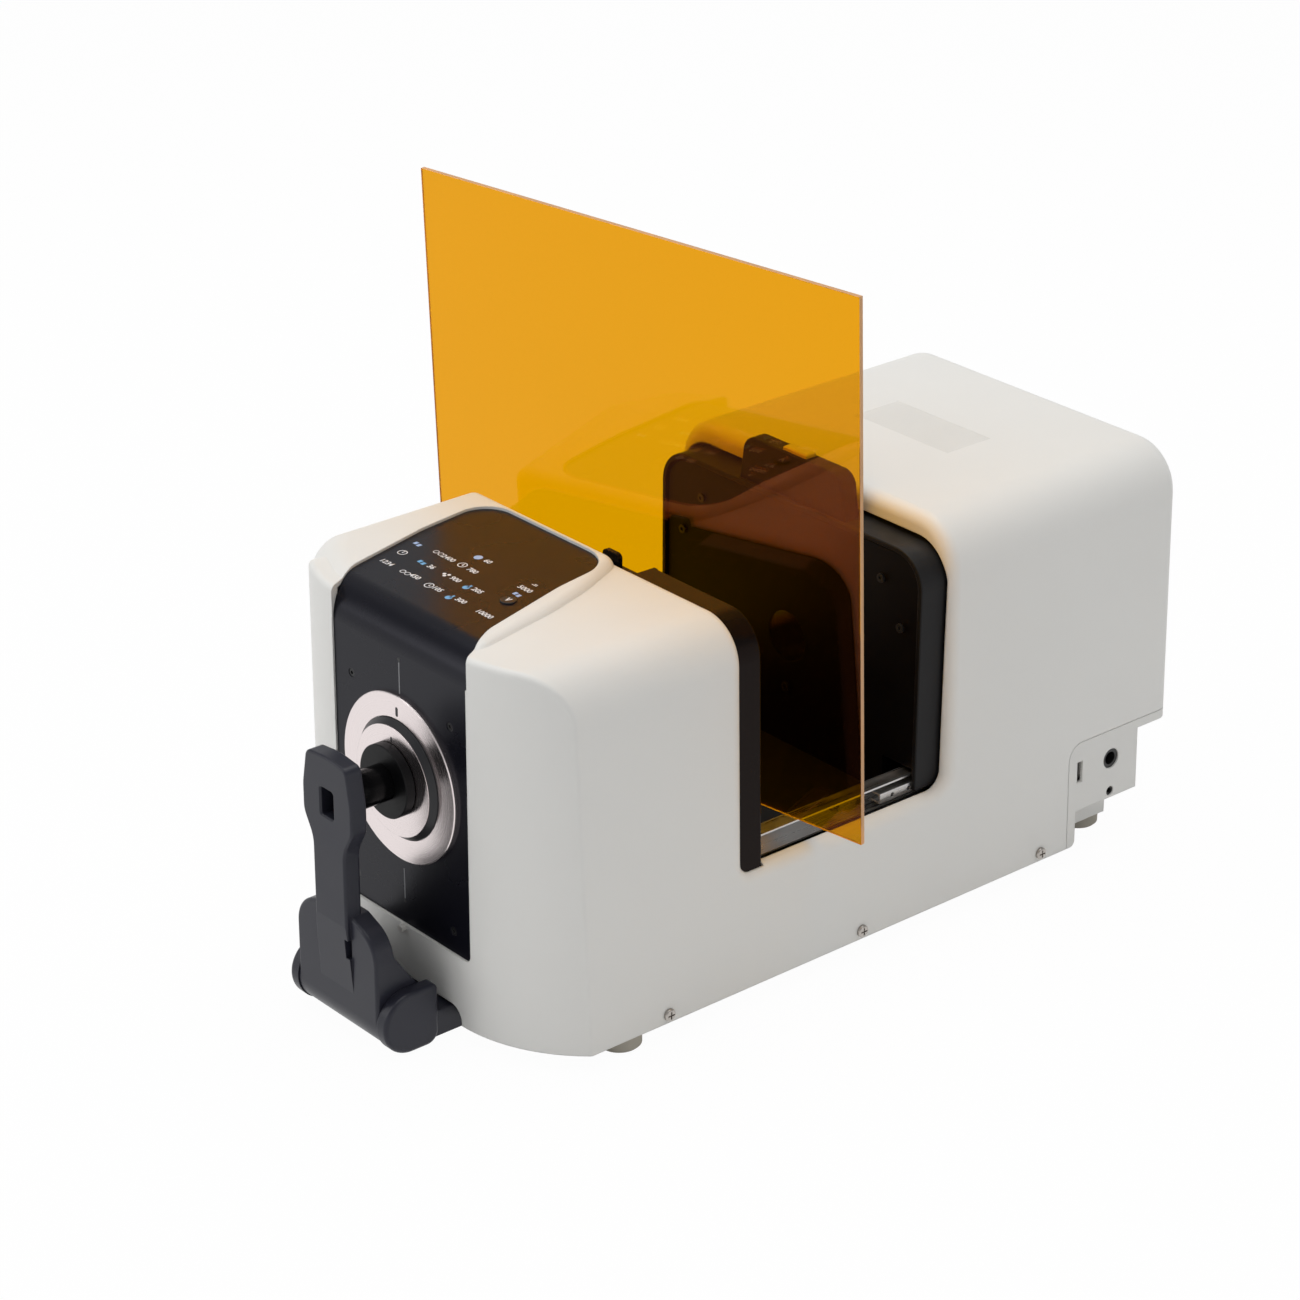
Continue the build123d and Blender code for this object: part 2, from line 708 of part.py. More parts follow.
def side_screw(side, y):
    face = half_w(side_screw_z) + 0.15
    head = rod_x(y, side_screw_z, side_head_r, face, face + side_head_h)
    head = fillet(head.faces().sort_by(Axis.X)[-1].edges(), side_head_round)
    z = side_screw_z
    w = cross_w / 2
    slot = block(face + 1, face + 4, y - cross_half, y + cross_half, z - w, z + w)
    slot = slot + block(face + 1, face + 4, y - w, y + w, z - cross_half, z + cross_half)
    screw = head + rod_x(y, side_screw_z, side_screw_r, face - 9, face + 0.1) - slot
    return screw if side > 0 else mirrored(screw)


bracket_screws = [(x, inner_front_y + dy) for x in (-bracket_screw_x, bracket_screw_x)
                  for dy in bracket_screw_in]
tongue_low = foot_h - touch - plate_t


def holder_bracket():
    # two knuckles in front of the housing, a bar through the arch and a tongue under the base
    knuckle_x = holder_half + holder_gap
    rear = hinge_y + knuckle_back
    knuckle = rod_x(hinge_y, hinge_z, knuckle_r, knuckle_x, knuckle_x + knuckle_w)
    knuckle = knuckle + slab_yz([(hinge_y, hinge_z - knuckle_r, 0), (rear, hinge_z - knuckle_r, 8),
                                 (rear, hinge_z + knuckle_r, 4), (hinge_y, hinge_z + knuckle_r, 0)],
                                knuckle_x, knuckle_x + knuckle_w)
    out = knuckle_x + knuckle_w
    outer = [e for e in knuckle.edges() if e.bounding_box().min.X > out - 0.01]
    knuckle = fillet(outer, knuckle_round)
    knuckle = knuckle - rod_x(hinge_y, hinge_z, pin_r + touch, knuckle_x - 1, out - knuckle_skin)
    bar = block(-out + 3, out - 3, rear - 3, inner_front_y + 0.6, bar_low, arch_top - 2)
    bar = bar - block(-knuckle_x, knuckle_x, rear - 4, rear, 0, far)
    tongue = block(-tongue_half, tongue_half, rear, inner_front_y + tongue_reach, tongue_low, foot_h - touch)
    bracket = bar + tongue + knuckle + mirrored(knuckle)
    for x, y in bracket_screws:
        bracket = bracket - rod_z(x, y, bracket_screw_r + touch, 0, foot_h + 1)
    return bracket


def bracket_screw(x, y):
    head = rod_z(x, y, bracket_head_r, tongue_low - bracket_head_h, tongue_low)
    shank = rod_z(x, y, bracket_screw_r, tongue_low - 0.5, plate_top)
    return head + shank - rod_z(x, y, 1.5, 0, tongue_low - 1)


nodes["base_chassis"] = make_chassis()
nodes["power_socket"] = power_socket()
nodes["trigger_socket"] = round_socket(trigger_z, trigger_r, 1.8, 10, 0.8, 5, 1.2, 5)
nodes["usb_socket"] = usb_socket()
foot_spots = {"front": (body_w / 2 - foot_in, y_front + foot_back),
              "rear": (body_w / 2 - rear_foot_side, y_rear - rear_foot_in)}
for end, (x, y) in foot_spots.items():
    nodes["foot_%s_left" % end] = foot(-x, y)
    nodes["foot_%s_right" % end] = foot(x, y)
nodes["side_screws"] = group([side_screw(side, y) for side in (-1, 1) for y in side_screw_y])
nodes["holder_bracket"] = holder_bracket()
nodes["bracket_screws"] = group([bracket_screw(x, y) for x, y in bracket_screws])


# ---- front panel --------------------------------------------------------------------------
def make_panel():
    panel = panel_shape(0, panel_y, panel_z, panel_back_y, panel_back_z, panel_bend, panel_bend - panel_t)
    panel = panel - rod_y(0, axis_z, port_hole_r, y_front - 5, inner_front_y)
    panel = panel - rod_z(button_x, button_y, button_r + button_gap, panel_back_z - 1, panel_z + 1)
    for x, z in panel_screws:
        panel = panel - rod_y(x, z, panel_head_r + 0.2, panel_y - 1, panel_y + 1.6)
        panel = panel - rod_y(x, z, panel_shank_r + touch, panel_y - 1, panel_back_y + 1)
    return panel


def panel_screw(x, z):
    screw = rod_y(x, z, panel_head_r, panel_y + 0.3, panel_y + 1.6)
    screw = screw + rod_y(x, z, panel_shank_r, panel_y + 1.5, inner_front_y)
    return screw - rod_y(x, z, 1.1, panel_y, panel_y + 1.2)


def make_ring():
    ring = rod_y(0, axis_z, ring_r, panel_y - ring_t, panel_y)
    ring = ring - rod_y(0, axis_z, mask_r + 0.4, y_front - 5, inner_front_y)
    return chamfer(rim_edges(ring, panel_y - ring_t, 1), 0.5)


def port_tube():
    # seats in the front wall, carries the turning mask and leads into the sphere
    rear = sphere_y - math.sqrt(sphere_out ** 2 - tube_r ** 2) + sphere_t + 2
    tube = rod_y(0, axis_z, port_hole_r - touch, mask_back + 0.2, inner_front_y + 1)
    tube = tube + rod_y(0, axis_z, tube_flange_r, inner_front_y, inner_front_y + 3)
    tube = tube + rod_y(0, axis_z, tube_r, inner_front_y, rear)
    return tube - rod_y(0, axis_z, spigot_r + spigot_gap, y_front - 5, rear + 1)


def target_mask():
    rim_front = mask_back - mask_rim_t
    mask = rod_y(0, axis_z, mask_r, rim_front, mask_back)
    nose = Cone(mask_r, mask_front_r, rim_front - mask_front)
    mask = mask + Pos(0, (mask_front + rim_front) / 2, axis_z) * Rot(90, 0, 0) * nose
    mask = mask + rod_y(0, axis_z, spigot_r, mask_back - 1, inner_front_y)
    mask = mask - rod_y(0, axis_z, aperture_r + 8, mask_front + 2, inner_front_y + 1)
    return mask - rod_y(0, axis_z, aperture_r + 1.5, mask_front - 1, mask_front + 3)


def measure_button():
    cap = rod_z(button_x, button_y, button_r, panel_back_z - 0.2, panel_z + button_proud)
    cap = fillet(cap.edges().group_by(Axis.Z)[-1], 0.5)
    return cap + rod_z(button_x, button_y, button_r + button_flange, panel_back_z - 1.5, panel_back_z - 0.1)


def button_board():
    # switch under the button, on a board hung from the deck
    switch_top = panel_back_z - 1.5 - button_travel - 0.1
    board_z = switch_top - switch_h
    half = switch_half
    left = button_x - switch_board_left
    board = block(left, button_x + switch_board_right, button_y - switch_board_deep,
                  button_y + switch_board_deep, board_z - board_t, board_z)
    board = board + block(button_x - half, button_x + half, button_y - half, button_y + half, board_z,
                          switch_top)
    for x in (left + switch_post_in, left + switch_post_in + switch_post_step):
        board = board + rod_z(x, button_y + switch_post_back, switch_post_r, board_z, panel_back_z - wall)
    return board


nodes["front_panel"] = make_panel()
nodes["panel_screws"] = group([panel_screw(x, z) for x, z in panel_screws])
nodes["stage_peg"] = (rod_y(0, peg_z, peg_r, y_front - peg_len, y_front)
                      + rod_y(0, peg_z, panel_shank_r, y_front - 1, inner_front_y))
nodes["port_ring"] = make_ring()
nodes["port_tube"] = port_tube()
nodes["target_mask"] = target_mask()
nodes["mask_plate"] = (rod_y(0, axis_z, mask_face_r, mask_face, mask_front)
                       - rod_y(0, axis_z, aperture_r, mask_face - 1, mask_front + 1))
nodes["measure_button"] = measure_button()
nodes["button_board"] = button_board()


# ---- optics -------------------------------------------------------------------------------
ball_outer = Pos(0, sphere_y, axis_z) * Sphere(sphere_out)
rim_r = sphere_out + sphere_rim
rim_cut = rod_y(0, axis_z, rim_r + touch, sphere_y - sphere_join - touch, sphere_y + sphere_join + touch)
lamp_y = sphere_y - lamp_ahead
flash_x = sphere_out + lamp_set_back
flash_low = axis_z - lamp_port_r - flash_r
flash_high = axis_z + lamp_port_r + flash_r
camera_y = lamp_y - 2
camera_z = axis_z + camera_up


def sphere_half(side):
    shell = ball_outer - Pos(0, sphere_y, axis_z) * Sphere(sphere_r)
    shell = shell & block(-far, far, sphere_y + side * touch / 2, sphere_y + side * far, -far, far)
    rim = rod_y(0, axis_z, rim_r, sphere_y + side * touch / 2, sphere_y + side * sphere_join)
    return shell + (rim - Pos(0, sphere_y, axis_z) * Sphere(sphere_out - 1))


def sphere_cradle():
    half = cradle_half
    cradle = block(-half, half, sphere_y - cradle_deep, sphere_y + cradle_deep, plate_top,
                   axis_z - sphere_r + cradle_hug)
    cradle = cradle - Pos(0, sphere_y, axis_z) * Sphere(sphere_out + touch) - rim_cut
    inner = half - cradle_wall
    return cradle - block(-inner, inner, sphere_y - cradle_deep - 6, sphere_y + cradle_deep + 6,
                          plate_top + cradle_wall / 2, axis_z - sphere_out - 10)


def lamp_housing():
    lamp = block(sphere_r - 4, sphere_out + lamp_len, lamp_y - lamp_deep, lamp_y + lamp_deep,
                 axis_z - lamp_half, axis_z + lamp_half)
    lamp = lamp - Pos(0, sphere_y, axis_z) * Sphere(sphere_out + touch) - rim_cut
    lamp = lamp - rod_x(lamp_y, axis_z, lamp_port_r, sphere_r - 24, sphere_out + lamp_len - 4)
    return lamp - rod_z(flash_x, lamp_y, flash_r + touch, flash_low - touch, flash_high + touch)


front_half = sphere_half(-1) - rod_y(0, axis_z, tube_r + touch, y_front, sphere_y - 20)
front_half = front_half - rod_x(lamp_y, axis_z, lamp_port_r, 20, 90)
front_half = front_half - rod_x(camera_y, camera_z, camera_eye_r, -90, -20)
nodes["sphere_front"] = front_half
nodes["sphere_rear"] = sphere_half(1) - rod_y(0, axis_z, window_tube_r + touch, sphere_y + 20, 0)
nodes["sphere_cradle"] = sphere_cradle()
nodes["lamp_housing"] = lamp_housing()
nodes["flash_tube"] = rod_z(flash_x, lamp_y, flash_r, flash_low, flash_high)
camera = block(-sphere_out - camera_len, -sphere_r + 4, camera_y - camera_half, camera_y + camera_half,
               camera_z - camera_half, camera_z + camera_half)
nodes["viewer_camera"] = camera - Pos(0, sphere_y, axis_z) * Sphere(sphere_out + touch)
spectro_half = hood_inner - spectro_side
spectro_top = deck_z - spectro_top_gap
spectro_front = chamber_front + spectro_ahead
spectro_rear = hood_front + 4


def spectrometer_box():
    t = spectro_wall
    inner = spectro_half - t
    box = block(-spectro_half, spectro_half, spectro_front, spectro_rear, plate_top, spectro_top)
    return box - block(-inner, inner, spectro_front + t, spectro_rear - t, plate_top + t, spectro_top - t)


def spectrometer_board():
    half = spectro_half - 10
    top = spectro_top + board_t
    board = block(-half, half, spectro_front + 14, spectro_rear - 14, spectro_top, top)
    chip_y = spectro_front + 34
    return board + block(10 - chip_len, 10, chip_y, chip_y + chip_deep, top, top + chip_h)


nodes["spectrometer_box"] = spectrometer_box()
nodes["spectrometer_board"] = spectrometer_board()


# ---- sample chamber -----------------------------------------------------------------------
def front_band():
    band = front_loft(fit, band_front, band_rear) & block(-far, far, band_front, band_rear, deck_z, far)
    rim = edges_where(band, lambda x, y, z: y > band_rear - 0.01)
    band = fillet([e for e in rim if e.bounding_box().max.Z > deck_z + 1], band_round)
    band = band - front_loft(fit + band_t, band_front - 1, band_rear - band_t)
    band = band - rod_y(0, axis_z, window_r + 1, band_rear - 4, band_rear + 1)
    notch_z = front_top - notch_drop
    shelf = block(-notch_left - band_t, notch_right + band_t, band_front, band_rear, notch_z - band_t, far)
    band = band + (shelf & front_loft(fit, band_front, band_rear))
    band = band - block(-notch_left, notch_right, chamber_front, far, notch_z, far)
    left, right, top = catch_x - catch_half, catch_x + catch_half, front_top + catch_rise
    catch = slab_xz([(left, notch_z - 1, 0), (right, notch_z - 1, 0), (right, top, catch_round),
                     (left, top, catch_round)], chamber_front + seam, chamber_front + seam + catch_t)
    return band + catch


def window_tube():
    front = sphere_y + math.sqrt(sphere_out ** 2 - window_tube_r ** 2) - sphere_t - 1
    tube = rod_y(0, axis_z, window_tube_r, front, band_rear - band_t)
    return tube - rod_y(0, axis_z, window_r, front - 1, band_rear)


def receiver_wall():
    step_z = rail_top + receiver_step
    half = rail_x - receiver_foot_in
    wide = receiver_half
    plate = slab_xz([(-half, deck_z, 0), (half, deck_z, 0), (half, step_z, 0), (wide, step_z, 0),
                     (wide, receiver_top, receiver_round), (-wide, receiver_top, receiver_round),
                     (-wide, step_z, 0), (-half, step_z, 0)], receiver_y, receiver_y + receiver_t)
    plate = plate - rod_y(0, axis_z, window_r + 1, receiver_y - 1, receiver_y + 4)
    for x, z in receiver_screws:
        plate = plate - rod_y(x, z, wall_screw_r + screw_slack, receiver_y - 1, receiver_y + receiver_t + 1)
    return plate


def receiver_screw(x, z):
    screw = rod_y(x, z, wall_head_r, receiver_y - wall_head_h, receiver_y)
    screw = screw + rod_y(x, z, wall_screw_r, receiver_y - 0.5, receiver_y + receiver_t + 2)
    return screw - rod_y(x, z, 1.2, receiver_y - 2, receiver_y - 0.6)


def receiver_box():
    front = receiver_y + receiver_t
    rear = front + receiver_box_len
    half = receiver_box_half
    t = receiver_box_wall
    top = receiver_top - receiver_box_drop
    box = block(-half, half, front, rear, deck_z, top)
    box = box - block(-half + t, half - t, front + t, rear - t, deck_z + t, top - t)
    box = box - rod_y(0, axis_z, window_r, front - 1, front + t + 1)
    wing = block(half - 2, receiver_half - wing_in, front, front + wing_t, wing_z - wing_half,
                 wing_z + wing_half)
    box = box + wing + mirrored(wing)
    for x, z in receiver_screws:
        box = box - rod_y(x, z, wall_screw_r + touch, front - 1, front + 2.5)
    return box


nodes["front_band"] = front_band()
nodes["front_window"] = rod_y(0, axis_z, window_r + 1 - touch, band_rear - 0.6 - glass_t, band_rear - 0.6)
nodes["window_tube"] = window_tube()
tray_half = half_w(deck_z) - fit
tray_low = deck_z - tray_t
tray = block(-tray_half, tray_half, band_front, bay_y - 1, tray_low, deck_z)
nodes["chamber_floor"] = tray + block(-bay_inner + 6, bay_inner - 6, bay_y - 2, rail_rear, tray_low, deck_z)
nodes["receiver_wall"] = receiver_wall()
nodes["receiver_lens"] = rod_y(0, axis_z, window_r + 1 - touch, receiver_y + 0.6, receiver_y + 0.6 + glass_t)
nodes["receiver_screws"] = group([receiver_screw(x, z) for x, z in receiver_screws])
nodes["receiver_box"] = receiver_box()


def power_supply():
    rear = board_y - board_gap
    front = rear - supply_len
    t = supply_wall
    case = block(supply_x, supply_x + supply_w, front, rear, deck_z, deck_z + supply_h)
    return case - block(supply_x + t, supply_x + supply_w - t, front + t, rear - t, deck_z + t,
                        deck_z + supply_h - t)


nodes["power_supply"] = power_supply()
nodes["capacitor"] = rod_z(-capacitor_x, board_y - board_gap - supply_len / 2 - 2, capacitor_r, deck_z,
                           deck_z + capacitor_h)
board_half = hood_inner - rear_post_in
nodes["main_board"] = block(-board_half, board_half, board_y, board_y + board_t, deck_z,
                            body_h - main_board_drop)


# ---- drawer rails, right-hand side --------------------------------------------------------
race_out = rail_h / 2 - rail_t              # inner face of the fixed flanges
ball_w = race_out - ball_gap - ball_r
race_in = ball_w - ball_r - ball_gap        # outer face of the moving flanges
slide_rear = hood_rear - slide_inset
slide_front = slide_rear - slide_len
slide_x = hood_inner - slide_u
ball_x = rail_x + rail_u - ball_in
cage_x = slide_x - cage_t - 0.6
cage_y = slide_front + cage_back


def fixed_rail():
    rail = block(rail_x, rail_x + rail_u, rail_front, rail_rear, rail_mid - rail_h / 2, rail_mid + rail_h / 2)
    rail = rail - block(rail_x + rail_t, rail_x + rail_u + 1, rail_front - 1, rail_rear + 1,
                        rail_mid - race_out, rail_mid + race_out)
    for y in rail_screw_y:
        rail = rail - rod_x(y, rail_mid, rail_hole_r + touch, rail_x - 1, rail_x + 2)
    return rail


def moving_rail():
    inner = race_in - rail_t
    rail = block(slide_x, hood_inner, slide_front, slide_rear, rail_mid - race_in, rail_mid + race_in)
    rail = rail - block(slide_x - 1, hood_inner - rail_t, slide_front - 1, slide_rear + 1, rail_mid - inner,
                        rail_mid + inner)
    for i in range(slide_holes):
        y = slide_front + slide_hole_in + i * slide_hole_pitch
        rail = rail - rod_x(y, rail_mid, rail_hole_r, hood_inner - 2, hood_inner + 1)
    return rail


def ball_cage():
    half = ball_w + cage_t / 2
    strip_x = ball_x + ball_r + 1
    cage = block(cage_x, strip_x, cage_y, cage_y + cage_len, rail_mid - half, rail_mid + half)
    cage = cage - block(cage_x + cage_t, strip_x + 1, cage_y - 1, cage_y + cage_len + 1,
                        rail_mid - half + cage_t, rail_mid + half - cage_t)
    balls = []
    for i in range(cage_balls):
        y = cage_y + cage_end + i * (cage_len - 2 * cage_end) / (cage_balls - 1)
        for side in (-1, 1):
            z = rail_mid + side * ball_w
            cage = cage - rod_z(ball_x, y, ball_r + 0.03, z - 1, z + 1)
            balls.append(Pos(ball_x, y, z) * Sphere(ball_r))
    return [cage] + balls


def rail_bracket():
    x0 = rail_x - bracket_t
    bracket = block(x0, rail_x, rail_front, rail_rear, deck_z, rail_top - 0.5)
    bracket = bracket + block(rail_x - bracket_foot, rail_x, rail_front, rail_rear, deck_z,
                              deck_z + bracket_t)
    for y in rail_screw_y:
        bracket = bracket - rod_x(y, rail_mid, rail_hole_r + touch, x0 - 1, rail_x + 1)
    return bracket


def rail_screw(y):
    head_x = rail_x + rail_t
    screw = rod_x(y, rail_mid, rail_head_r, head_x, head_x + rail_head_h)
    screw = screw + rod_x(y, rail_mid, rail_hole_r, rail_x - bracket_t, head_x + 0.5)
    return screw - rod_x(y, rail_mid, rail_drive_r, head_x + 0.6, head_x + 4)


def chain():
    x = rail_x + rail_u / 2 + 0.85
    links = []
    for i in range(chain_links):
        y = receiver_y - chain_ahead + i * chain_pitch
        inner = chain_w / 2 - chain_wall
        link = block(x - chain_w / 2, x + chain_w / 2, y, y + chain_pitch - 0.2, deck_z, deck_z + chain_h)
        link = link - block(x - inner, x + inner, y - 1, y + chain_pitch + 1, deck_z + chain_wall,
                            deck_z + chain_h - chain_wall)
        groove = block(x - chain_w, x + chain_w, y + groove_in, y + groove_in + groove_w,
                       deck_z + chain_h - chain_wall + 0.1, far)
        links.append(link - groove)
    return links


rail_parts = {
    "rail_outer_": [fixed_rail()],
    "rail_inner_": [moving_rail()],
    "ball_cage_": ball_cage(),
    "rail_bracket_": [rail_bracket()],
    "rail_stop_": [block(rail_x - 1, rail_x + rail_u + 1.2, rail_front - touch - stop_t, rail_front - touch,
                         deck_z, rail_top - 0.6)],
}
for name, shapes in rail_parts.items():
    nodes[name + "right"] = group(shapes)
    nodes[name + "left"] = group([mirrored(shape) for shape in shapes])
web_screws = [rail_screw(y) for y in rail_screw_y]
nodes["rail_screws"] = group(web_screws + [mirrored(screw) for screw in web_screws])
nodes["cable_chain"] = group(chain())


# ---- hood ---------------------------------------------------------------------------------
def hood_shell():
    inner_round = hood_round - hood_t
    inner_top = hood_top - hood_t
    low = hood_low - 1
    shell = slab_xz([(-hood_half, hood_low, 0), (hood_half, hood_low, 0), (hood_half, hood_top, hood_round),
                     (-hood_half, hood_top, hood_round)], hood_front, hood_rear)
    lip = edges_where(shell, lambda x, y, z: y < hood_front + 0.01)
    shell = fillet([e for e in lip if e.bounding_box().max.Z > hood_low + 1], 1.0)
    return shell - slab_xz([(-hood_inner, low, 0), (hood_inner, low, 0), (hood_inner, inner_top, inner_round),
                            (-hood_inner, inner_top, inner_round)], hood_front - 1, hood_rear + 1)


grip_y = hood_front + 3
grip_top = hood_top + grip_h
key_floor = grip_top - key_h - key_travel + 0.5


def hood_grip():
    top_half = grip_half - 4
    grip = slab_xz([(-grip_half, hood_top, 0), (grip_half, hood_top, 0), (top_half, grip_top, grip_round),
                    (-top_half, grip_top, grip_round)], grip_y, grip_y + grip_t)
    faces = edges_where(grip, lambda x, y, z: (y < grip_y + 0.01 or y > grip_y + grip_t - 0.01))
    grip = fillet([e for e in faces if e.bounding_box().max.Z > hood_top + 1], 1.5)
    return grip - block(-key_half - 0.2, key_half + 0.2, grip_y + 1.8, grip_y + grip_t - 1.8, key_floor,
                        grip_top + 1)


def hood_key():
    key = block(-key_half, key_half, grip_y + 2, grip_y + grip_t - 2, key_floor + key_travel + 0.3,
                grip_top + key_travel + 0.5)
    return fillet(key.edges().group_by(Axis.Z)[-1], 1.5)


nodes["hood_shell"] = hood_shell()
nodes["hood_grip"] = hood_grip()
nodes["hood_key"] = hood_key()


# ---- sample sheet -------------------------------------------------------------------------
def sample_sheet():
    # stands on the rails and leans against the left shoulder of the black band
    yaw = math.radians(sheet_yaw)
    lean = math.radians(sheet_lean)
    across = (-math.sin(yaw) * math.cos(lean), math.cos(yaw) * math.cos(lean), math.sin(lean))
    slope = front_fall / (chamber_front - (y_front + front_sweep))
    edge_top = front_top + slope * band_depth
    corner_r = front_round - fit
    tilt = math.hypot(across[0], across[2])
    lean_x = -(half_w(edge_top) - fit - corner_r) + corner_r * across[0] / tilt
    lean_z = edge_top - fit - corner_r + corner_r * across[2] / tilt
    low_z = rail_top + touch + sheet_t / 2 * math.sin(lean)
    reach = across[0] * lean_x + across[2] * (lean_z - low_z) + sheet_t / 2 + sheet_gap
    centre_y = band_rear + reach / across[1]
    sheet = Pos(sheet_w / 2 - sheet_left, 0, sheet_h / 2) * Box(sheet_w, sheet_t, sheet_h)
    return Pos(0, centre_y, low_z) * Rot(0, 0, sheet_yaw) * Rot(sheet_lean, 0, 0) * sheet


nodes["sample_sheet"] = sample_sheet()


# ---- specimen holder ----------------------------------------------------------------------
def holder_arm():
    # upright arm on a broad base that wraps round the hinge barrel
    shoulder_z = hinge_z + arm_shoulder
    neck_z = hinge_z + arm_neck
    fade_z = hinge_z + arm_fade
    tip, waist, head, half = arm_tip, arm_waist, arm_head, holder_half
    plate = slab_xz([(-waist - 1, hinge_z, 0), (waist + 1, hinge_z, 0), (waist, neck_z, 60),
                     (waist, axis_z - 25, 20), (head, axis_z - 11, 14), (head, axis_z + 6, 30),
                     (tip, arm_top - 2, 5), (0, arm_top, 60), (-tip, arm_top - 2, 5),
                     (-head, axis_z + 6, 30), (-head, axis_z - 11, 14), (-waist, axis_z - 25, 20),
                     (-waist, neck_z, 60)], arm_front, arm_back)
    edge = [e for e in plate.edges() if (e.bounding_box().max.Y < arm_front + 0.01
                                         or e.bounding_box().min.Y > arm_back - 0.01)
            and e.bounding_box().max.Z > hinge_z + 1]
    plate = fillet(edge, arm_edge)
    lean = slab_yz([(arm_front - 1, fade_z, 0), (arm_front, fade_z, 0), (base_front, hinge_z + 12, 0),
                    (arm_back, hinge_z + 12, 0), (arm_back + 1, fade_z, 0), (arm_back + 1, far, 0),
                    (arm_front - 1, far, 0)], -half, half)
    plate = plate & lean
    base = slab_xz([(-half, 0, 0), (half, 0, 0), (half, shoulder_z, shoulder_bend), (waist, neck_z, 3),
                    (-waist, neck_z, 3), (-half, shoulder_z, shoulder_bend)], base_front, hinge_y + 30)
    base_back = base_front + base_t
    side = slab_yz([(base_front, hinge_z, 0), (base_front, neck_z + 1, 0), (base_back, neck_z + 1, 0),
                    (base_back, hinge_z + 40, 6), (hinge_y + 10, hinge_z + 18, 6),
                    (hinge_y + 10, hinge_z, 0)], -half, half)
    base = base & side
    rim = [e for e in base.edges() if e.bounding_box().max.Y < base_front + 0.01
           and e.bounding_box().max.Z > hinge_z + 1 and e.bounding_box().size.Z > 0.1]
    base = fillet(rim, base_edge)
    arm = plate + base + rod_x(hinge_y, hinge_z, barrel_r, -half, half)
    low = axis_z - arm_window_low
    high = axis_z + arm_window_high
    half_window = arm_window_half
    window = [(-half_window, low, 1.5), (half_window, low, 1.5), (half_window, high, 1.5),
              (-half_window, high, 1.5)]
    arm = arm - slab_xz(window, arm_front - 1, arm_back + 1)
    lip = [e for e in arm.edges() if e.bounding_box().max.Y < arm_front + 0.01
           and e.bounding_box().min.Z > low - 0.01 and e.bounding_box().max.Z < high + 0.01
           and e.bounding_box().max.X < half_window + 0.01 and e.bounding_box().min.X > -half_window - 0.01]
    arm = chamfer(lip, arm_window_lip)
    slot_z = hinge_z + slot_low
    arm = arm - block(slot_x, slot_x + slot_w, arm_front - 1, base_front + 2.5, slot_z, slot_z + slot_h)
    return arm - rod_x(hinge_y, hinge_z, pin_r + pin_gap, -far, far)


nodes["holder_arm"] = holder_arm()
presser_z = axis_z + presser_up
nodes["presser_shaft"] = rod_y(0, presser_z, presser_r, arm_back + touch, pad_front)
pad = rod_y(0, presser_z, pad_r, pad_front, pad_rear)
nodes["presser_pad"] = chamfer(pad.edges().filter_by(GeomType.CIRCLE), 0.5)
pin_end = holder_half + holder_gap + knuckle_w - knuckle_skin - touch
nodes["hinge_pin"] = rod_x(hinge_y, hinge_z, pin_r, -pin_end, pin_end)

os.makedirs("parts", exist_ok=True)
for name, shape in nodes.items():
    export_step(shape, "parts/%s.step" % name)
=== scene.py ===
import json
import math

import bmesh
import bpy
from mathutils import Matrix, Vector


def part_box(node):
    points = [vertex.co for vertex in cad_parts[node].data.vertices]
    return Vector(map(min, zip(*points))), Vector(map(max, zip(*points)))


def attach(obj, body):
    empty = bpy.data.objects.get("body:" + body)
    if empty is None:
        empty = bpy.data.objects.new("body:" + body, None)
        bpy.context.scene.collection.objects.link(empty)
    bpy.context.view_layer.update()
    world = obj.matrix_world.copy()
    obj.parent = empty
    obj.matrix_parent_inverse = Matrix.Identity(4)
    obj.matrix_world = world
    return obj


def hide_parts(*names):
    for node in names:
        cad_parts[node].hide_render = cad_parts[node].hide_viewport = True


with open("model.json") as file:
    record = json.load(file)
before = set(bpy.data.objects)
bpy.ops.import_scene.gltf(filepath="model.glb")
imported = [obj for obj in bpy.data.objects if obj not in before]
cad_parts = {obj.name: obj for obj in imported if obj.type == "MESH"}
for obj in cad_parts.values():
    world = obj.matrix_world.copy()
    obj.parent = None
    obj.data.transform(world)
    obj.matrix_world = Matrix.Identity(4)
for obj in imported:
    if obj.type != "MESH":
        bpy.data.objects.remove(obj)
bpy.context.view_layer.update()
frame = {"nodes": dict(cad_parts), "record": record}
print("frame: packed nodes are in")


# camera

cameraView = {
    "place": (1.52175, -1.36641, 1.11308),
    "azimuth": 49.509,      # degrees, 0 looks at the front
    "elevation": 25.266,
    "roll": 0.199,
    "lens": 105.82,
    "sensor": 36.0,
}


def makeCamera(view):
    azimuth = math.radians(view["azimuth"])
    elevation = math.radians(view["elevation"])
    back = Vector((math.sin(azimuth) * math.cos(elevation),
                   -math.cos(azimuth) * math.cos(elevation), math.sin(elevation)))
    right = Vector((math.cos(azimuth), math.sin(azimuth), 0))
    turn = Matrix((right, back.cross(right), back)).transposed().to_4x4()
    data = bpy.data.cameras.new("studioCamera")
    data.sensor_fit = "HORIZONTAL"
    data.sensor_width = view["sensor"]
    data.lens = view["lens"]
    data.clip_end = 50
    camera = bpy.data.objects.new("studioCamera", data)
    bpy.context.scene.collection.objects.link(camera)
    camera.matrix_world = (Matrix.Translation(view["place"]) @ turn
                           @ Matrix.Rotation(math.radians(view["roll"]), 4, "Z"))
    bpy.context.scene.camera = camera


